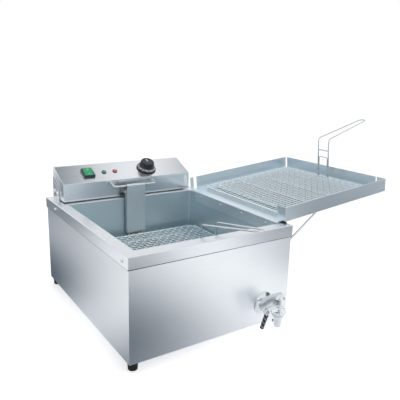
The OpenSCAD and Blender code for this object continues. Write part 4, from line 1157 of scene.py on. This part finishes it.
@dataclass
class TapCasting(Trim):
    """Plated casting of the drain tap: a horn from the wall to a dome, and the valve body under it.

    In the collar and the body's foot, the first number is a share of the dome's radius. The horn has the
    place along Y, the height and the radius of each section.
    """

    x: float = 135.0
    y: float = -305.5
    axis_z: float = 80.0
    cap_z: float = 75.0
    seam: float = 88.0
    seam_gap: float = 1.6
    dome_r: float = 14.0
    dome_top: float = 116.0
    dome_least: float = 0.3
    dome_steps: int = 10
    dome_foot: Steps = ((-1.2, 0.0), (-0.2, 0.9), (0.0, 2.0))
    horn: tuple[tuple[float, float, float], ...] = (
        (-258.0, 69.8, 18.6), (-263.0, 70.2, 17.6), (-268.0, 72.0, 16.6), (-273.5, 76.0, 15.7),
        (-280.0, 82.4, 15.0), (-287.0, 89.4, 14.4), (-294.0, 95.4, 13.9), (-301.0, 99.4, 13.4),
        (-305.5, 101.4, 12.6))
    voxel: float = 0.9
    smoothing: int = 9
    body_low: float = 61.9
    body_foot: Steps = ((0.72, 0.0), (0.77, 0.4))
    bulge: tuple[float, float] = (0.78, 0.25)
    bulge_ends: tuple[float, float] = (1.2, 4.0)
    bulge_steps: int = 12
    collar: Steps = ((0.86, -3.6), (0.90, -3.2), (0.90, -0.5), (0.86, 0.0), (0.62, 0.0))
    neck_lap: float = 0.6
    cap: Steps = ((0.4, 0.0), (9.6, 0.0), (9.6, 14.6), (9.2, 15.3), (8.4, 15.6), (7.2, 15.7), (6.8, 15.2),
                  (6.0, 15.2), (5.4, 15.9), (2.88, 16.5), (0.4, 16.6))
    boss: Steps = ((0.4, 0.0), (8.6, 0.0), (8.2, 25.0), (8.0, 27.4), (7.4, 28.0), (4.2, 28.0), (4.2, 24.0),
                   (0.4, 24.0))
    segments: tuple[int, int, int] = (48, 56, 40)

    def elbow(self, paint: Paint) -> None:
        """Casts the horn and the dome.

        Args:
            paint: The finishes.
        """
        low, r, (dome_sides, _, horn_sides) = self.seam + self.seam_gap, self.dome_r, self.segments
        middle = self.dome_top - r
        profile = [(AXIS_R, low)] + section(r, low, self.dome_foot)
        profile += [(max(self.dome_least, r * cos(a)), middle + r * sin(a))
                    for a in (QUARTER * i / self.dome_steps for i in range(self.dome_steps + 1))]
        shape = Shape().lathe(profile, dome_sides).moved(Matrix.Translation((self.x, self.y, 0.0)))
        path = [(self.x, y, z) for y, z, _ in self.horn]
        shape.tube(path, [q for _, _, q in self.horn], horn_sides, (1, 0, 0))
        cast = shape.fused(self.voxel, self.smoothing).piece("tap_elbow", "casing", ROUND_FORM_ANGLE)
        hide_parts("tap_bonnet")
        paint.dress(cast, Slot.TAP)
        cast.visible_glossy = False

    def valve_body(self, paint: Paint) -> None:
        """Turns the valve body with its collar, front cap and stem boss.

        Args:
            paint: The finishes.
        """
        r, low, top, (_, body_sides, cap_sides) = self.dome_r, self.body_low, self.seam, self.segments
        waist, swell = self.bulge
        start, end = low + self.bulge_ends[0], top - self.bulge_ends[1]
        profile = [(AXIS_R, low)] + [(r * share, low + up) for share, up in self.body_foot]
        for i in range(self.bulge_steps + 1):
            part = i / self.bulge_steps
            profile.append((r * (waist + swell * sin(pi * part)), start + (end - start) * part))
        profile += [(r * share, top + up) for share, up in self.collar]
        neck = top + self.seam_gap + self.neck_lap
        profile += [(profile[-1][0], neck), (AXIS_R, neck)]
        shape = Shape().lathe(profile, body_sides).moved(Matrix.Translation((self.x, self.y, 0.0)))
        for steps, z, side in ((self.cap, self.cap_z, "-Y"), (self.boss, self.axis_z, "-X")):
            turned = Shape().lathe(section(0.0, 0.0, steps), cap_sides)
            shape.join(turned.moved(facing((self.x, self.y, z), side)))
        body = shape.piece("tap_valve_body", "casing")
        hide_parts("tap_body")
        paint.dress(body, Slot.TAP)
        body.visible_glossy = False

    def build(self, paint: Paint) -> None:
        """Builds the elbow and the valve body, which reflections leave out."""
        self.elbow(paint)
        self.valve_body(paint)


@dataclass(frozen=True)
class SoftEdges:
    """Small bevels, in millimetres, that let the edges of sheets and housings catch the light."""

    merge: float = 0.01
    flat_angle: float = radians(0.3)
    edge_angle: float = radians(40)
    segments: int = 2
    widths: tuple[tuple[float, tuple[str, ...]], ...] = (
        (0.3, ("lever_nut",)), (0.4, ("tap_lever",)),
        (0.5, ("outer_casing", "rear_panel", "head_back_cover", "drain_tray", "tray_hook",
               "quadrant_plates", "prop_saddles", "tap_spout", "tap_flange")),
        (0.55, ("head_shell",)), (0.6, ("cable_gland",)), (0.7, ("switch_housing",)),
        (0.8, ("rocker",)), (1.1, ("element_guard",)))

    def build(self, frame: dict) -> None:
        """Bevels the listed solids.

        Args:
            frame: The loaded frame.
        """
        for width, name in ((width, name) for width, names in self.widths for name in names):
            modifiers = frame["nodes"][name].modifiers
            weld = modifiers.new("weld", "WELD")
            weld.merge_threshold = self.merge * MM
            flat = modifiers.new("flat", "DECIMATE")
            flat.decimate_type, flat.angle_limit = "DISSOLVE", self.flat_angle
            edge = modifiers.new("edge", "BEVEL")
            edge.width, edge.segments = width * MM, self.segments
            edge.limit_method, edge.angle_limit = "ANGLE", self.edge_angle
            edge.use_clamp_overlap, edge.harden_normals = False, True


def level_square(name: str, place: Matrix) -> Object:
    """Makes a level square of the studio that reaches 1 m to each side before it is placed.

    Args:
        name: Its name.
        place: Its place and size.

    Returns:
        The square.
    """
    side = 1.0 / MM
    corners = [(-side, -side, 0), (side, -side, 0), (side, side, 0), (-side, side, 0)]
    square = bpy.data.objects.new(name, Shape(corners, [(0, 1, 2, 3)]).mesh(name))
    square.matrix_world = place
    show(square)
    return square


@dataclass(frozen=True)
class SoftLight:
    """Soft square light that reflections leave out."""

    name: str
    place: Point
    size: float
    power: float
    aim: Point = (0.1, 0.0, 0.2)

    def build(self) -> None:
        """Hangs the light."""
        data = bpy.data.lights.new(self.name, "AREA")
        data.size, data.energy = self.size, self.power
        lamp = bpy.data.objects.new(self.name, data)
        lamp.location = self.place
        lamp.rotation_euler = (Vector(self.aim) - Vector(self.place)).to_track_quat("-Z", "Y").to_euler()
        lamp.visible_glossy = False
        show(lamp)


@dataclass(frozen=True)
class Flag:
    """Soft-edged dark flag that paints shade, or pale glowing card that paints light, into reflections; only
    reflections see it.

    It lies level, or stands upright at a turn about the vertical in degrees. Its cover is how much it
    hides in its middle.
    """

    name: str
    place: Point
    half: tuple[float, float]
    cover: float
    turn: float | None = None
    colour: Colour = (0.02, 0.05, 0.085)
    core: float = 0.2

    def build(self) -> None:
        """Sets the flag."""
        stand = Matrix()
        if self.turn is not None:
            stand = Matrix.Rotation(radians(self.turn), 4, "Z") @ Matrix.Rotation(QUARTER, 4, "X")
        place = Matrix.Translation(self.place) @ stand @ Matrix.Diagonal((*self.half, 1, 1))
        flag = level_square(self.name, place)
        sheet = NodeSheet(self.name)
        away = sheet.add("VectorMath", {0: sheet.place()}, operation="LENGTH").outputs["Value"]
        soft = sheet.fade(away, self.core, 1.0, self.cover)
        # Emission seen only in reflections: the flag's painted shade, the card's painted light.
        dark = sheet.value("Emission", {"Color": (*self.colour, 1.0)})
        clear = sheet.value("BsdfTransparent", {})
        flag.data.materials.append(sheet.finish(sheet.add("MixShader", {0: soft, 1: clear, 2: dark})))
        for ray in ("camera", "diffuse", "transmission", "volume_scatter", "shadow"):
            setattr(flag, "visible_" + ray, False)


@dataclass
class Studio:
    """Pale floor, white surround, soft lights, flags and the camera."""

    eye: Point = (-0.5711, -1.0313, 0.5811)
    yaw: float = radians(33.81)
    pitch: float = radians(14.49)
    roll: float = radians(1.66)
    focal_px: float = 486.3
    image_px: float = 400.0
    sensor: float = 36.0
    floor_reach: float = 30.0
    floor_colour: Colour = (0.86, 0.86, 0.87)
    floor_roughness: float = 0.9
    floor_glow: float = 0.60
    ambient: float = 0.5
    lights: tuple[SoftLight, ...] = (
        SoftLight("overhead", (0.6, 0.8, 1.7), 0.8, 6.0),
        SoftLight("front_right", (1.3, -1.6, 1.5), 1.2, 8.0))
    flags: tuple[Flag, ...] = (
        # Dark flags: painted shade in the reflections on the metal.
        Flag("flag_front_corner", (-0.25, -0.50, 0.004), (0.50, 0.60), 0.95),
        Flag("flag_left_rear", (-0.56, 1.18, 0.003), (0.74, 0.95), 0.90),
        Flag("flag_side_foot", (-0.225, 0.44, 0.005), (0.26, 0.60), 0.98),
        Flag("flag_front_right", (0.58, -0.56, 0.004), (0.24, 0.30), 0.72),
        Flag("flag_skirt_left", (0.0, -0.86, 0.006), (0.26, 0.20), 0.72),
        Flag("flag_tray_high", (1.60, -1.20, 0.30), (0.65, 0.40), 0.60, turn=52),
        Flag("flag_tray_front", (1.45, -1.10, 0.003), (1.05, 0.95), 0.92),
        Flag("flag_panel_left", (0.04, 0.86, 1.5), (0.56, 0.60), 0.95),
        Flag("flag_panel_right", (1.30, 0.86, 1.5), (0.52, 0.60), 0.88),
        Flag("flag_camera", (-0.75, -1.25, 0.42), (0.45, 0.34), 0.90, turn=-33),
        Flag("flag_right_side", (0.52, 0.15, 0.003), (0.40, 0.60), 0.60),
        Flag("flag_tap_right", (0.66, -0.62, 0.13), (0.34, 0.13), 0.80, turn=90),
        # A pale glowing card in the tank: painted light in the reflections on the head's front.
        Flag("card_tank_front", (-0.07, -0.222, 0.19), (0.15, 0.07), 0.75, turn=0,
             colour=(0.79, 0.855, 0.90)))

    def camera(self) -> None:
        """Places the camera where the photograph was taken from."""
        data = bpy.data.cameras.new("view")
        data.sensor_width = self.sensor
        data.lens = self.focal_px * self.sensor / self.image_px
        camera = bpy.data.objects.new("view", data)
        flat = cos(self.pitch)
        ahead = Vector((sin(self.yaw) * flat, cos(self.yaw) * flat, -sin(self.pitch)))
        level = Vector((cos(self.yaw), -sin(self.yaw), 0.0))
        rise = level.cross(ahead)
        right = cos(self.roll) * level + sin(self.roll) * rise
        up = cos(self.roll) * rise - sin(self.roll) * level
        turn = Matrix((right, up, -ahead)).transposed().to_4x4()
        camera.matrix_world = Matrix.Translation(self.eye) @ turn
        show(camera)
        bpy.context.scene.camera = camera

    def floor(self) -> None:
        """Lays the floor, which keeps a soft shadow."""
        floor = level_square("floor", Matrix.Diagonal((self.floor_reach, self.floor_reach, 1, 1)))
        sheet = NodeSheet("floor_white")
        rays = sheet.add("LightPath").outputs
        gloss = sheet.math("MAXIMUM", rays["Is Glossy Ray"], rays["Is Transmission Ray"])
        bright = sheet.math("MULTIPLY", gloss, self.floor_glow)
        glow = sheet.math("MULTIPLY_ADD", rays["Is Camera Ray"], self.floor_glow, bright)
        floor.data.materials.append(sheet.surface({
            "Base Color": (*self.floor_colour, 1.0), "Roughness": self.floor_roughness,
            "Emission Color": WHITE, "Emission Strength": glow}))

    def surround(self) -> None:
        """Sets the white surround: plain light on the object, full white where it is seen."""
        world = bpy.data.worlds.new("surround")
        bpy.context.scene.world = world
        sheet = NodeSheet("surround", world)
        rays = sheet.add("LightPath").outputs
        seen = sheet.math("MAXIMUM", rays["Is Camera Ray"], rays["Is Glossy Ray"])
        seen = sheet.math("MAXIMUM", seen, rays["Is Transmission Ray"])
        strength = sheet.value("MapRange", {"Value": seen, "To Min": self.ambient, "To Max": 1.0})
        sheet.finish(sheet.add("Background", {"Color": WHITE, "Strength": strength}))

    def build(self) -> None:
        """Sets camera, floor, surround, lights and flags."""
        bpy.context.scene.view_settings.view_transform = "Standard"
        self.camera()
        self.floor()
        self.surround()
        for thing in (*self.lights, *self.flags):
            thing.build()


def dress_solids(frame: dict, paint: Paint) -> None:
    """Gives every solid the finish of its slot in the record, or one of the two darker special finishes that
    paint shade.

    Args:
        frame: The loaded frame.
        paint: The finishes.
    """
    nodes = frame["nodes"]
    for row in frame["record"]["subparts"]:
        paint.dress(nodes[row["node"]], Slot(row["material_slot"]))
    # The guard and the rods get the darker copies: painted shade.
    nodes["element_guard"].data.materials[0] = paint.guard
    for name in ("tank_basket_handle", "tray_basket_handle", "tray_prop", "hanger_bar"):
        nodes[name].data.materials[0] = paint.handle


def baskets() -> list[WovenBasket]:
    """Gives the level basket in the tank and the one on the sloping tray."""
    in_tank = Matrix.Translation((12.0, -43.0, 143.3))
    tray = Matrix.Translation((201.5, -239.5, 254.0303))
    slope = Matrix.Rotation(radians(-5.6), 4, "Y")
    lie = Matrix.Translation((176.0, 194.5, 0.3)) @ Matrix.Rotation(QUARTER, 4, "Z")
    return [WovenBasket("tank_basket", in_tank), WovenBasket("tray_basket", tray @ slope @ lie)]


def main() -> None:
    """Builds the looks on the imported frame."""
    logging.basicConfig(level=logging.INFO, format="%(message)s")
    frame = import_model()
    Studio().build()
    paint = Paint()
    dress_solids(frame, paint)
    for trim in (*baskets(), ControlPanel(), *screw_rows(), TapLeverGrip(), DeckSurround(), RubberFoot(),
                 TrayCornerPad(), TapCasting()):
        trim.build(paint)
    SoftEdges().build(frame)


if __name__ == "__main__":
    main()
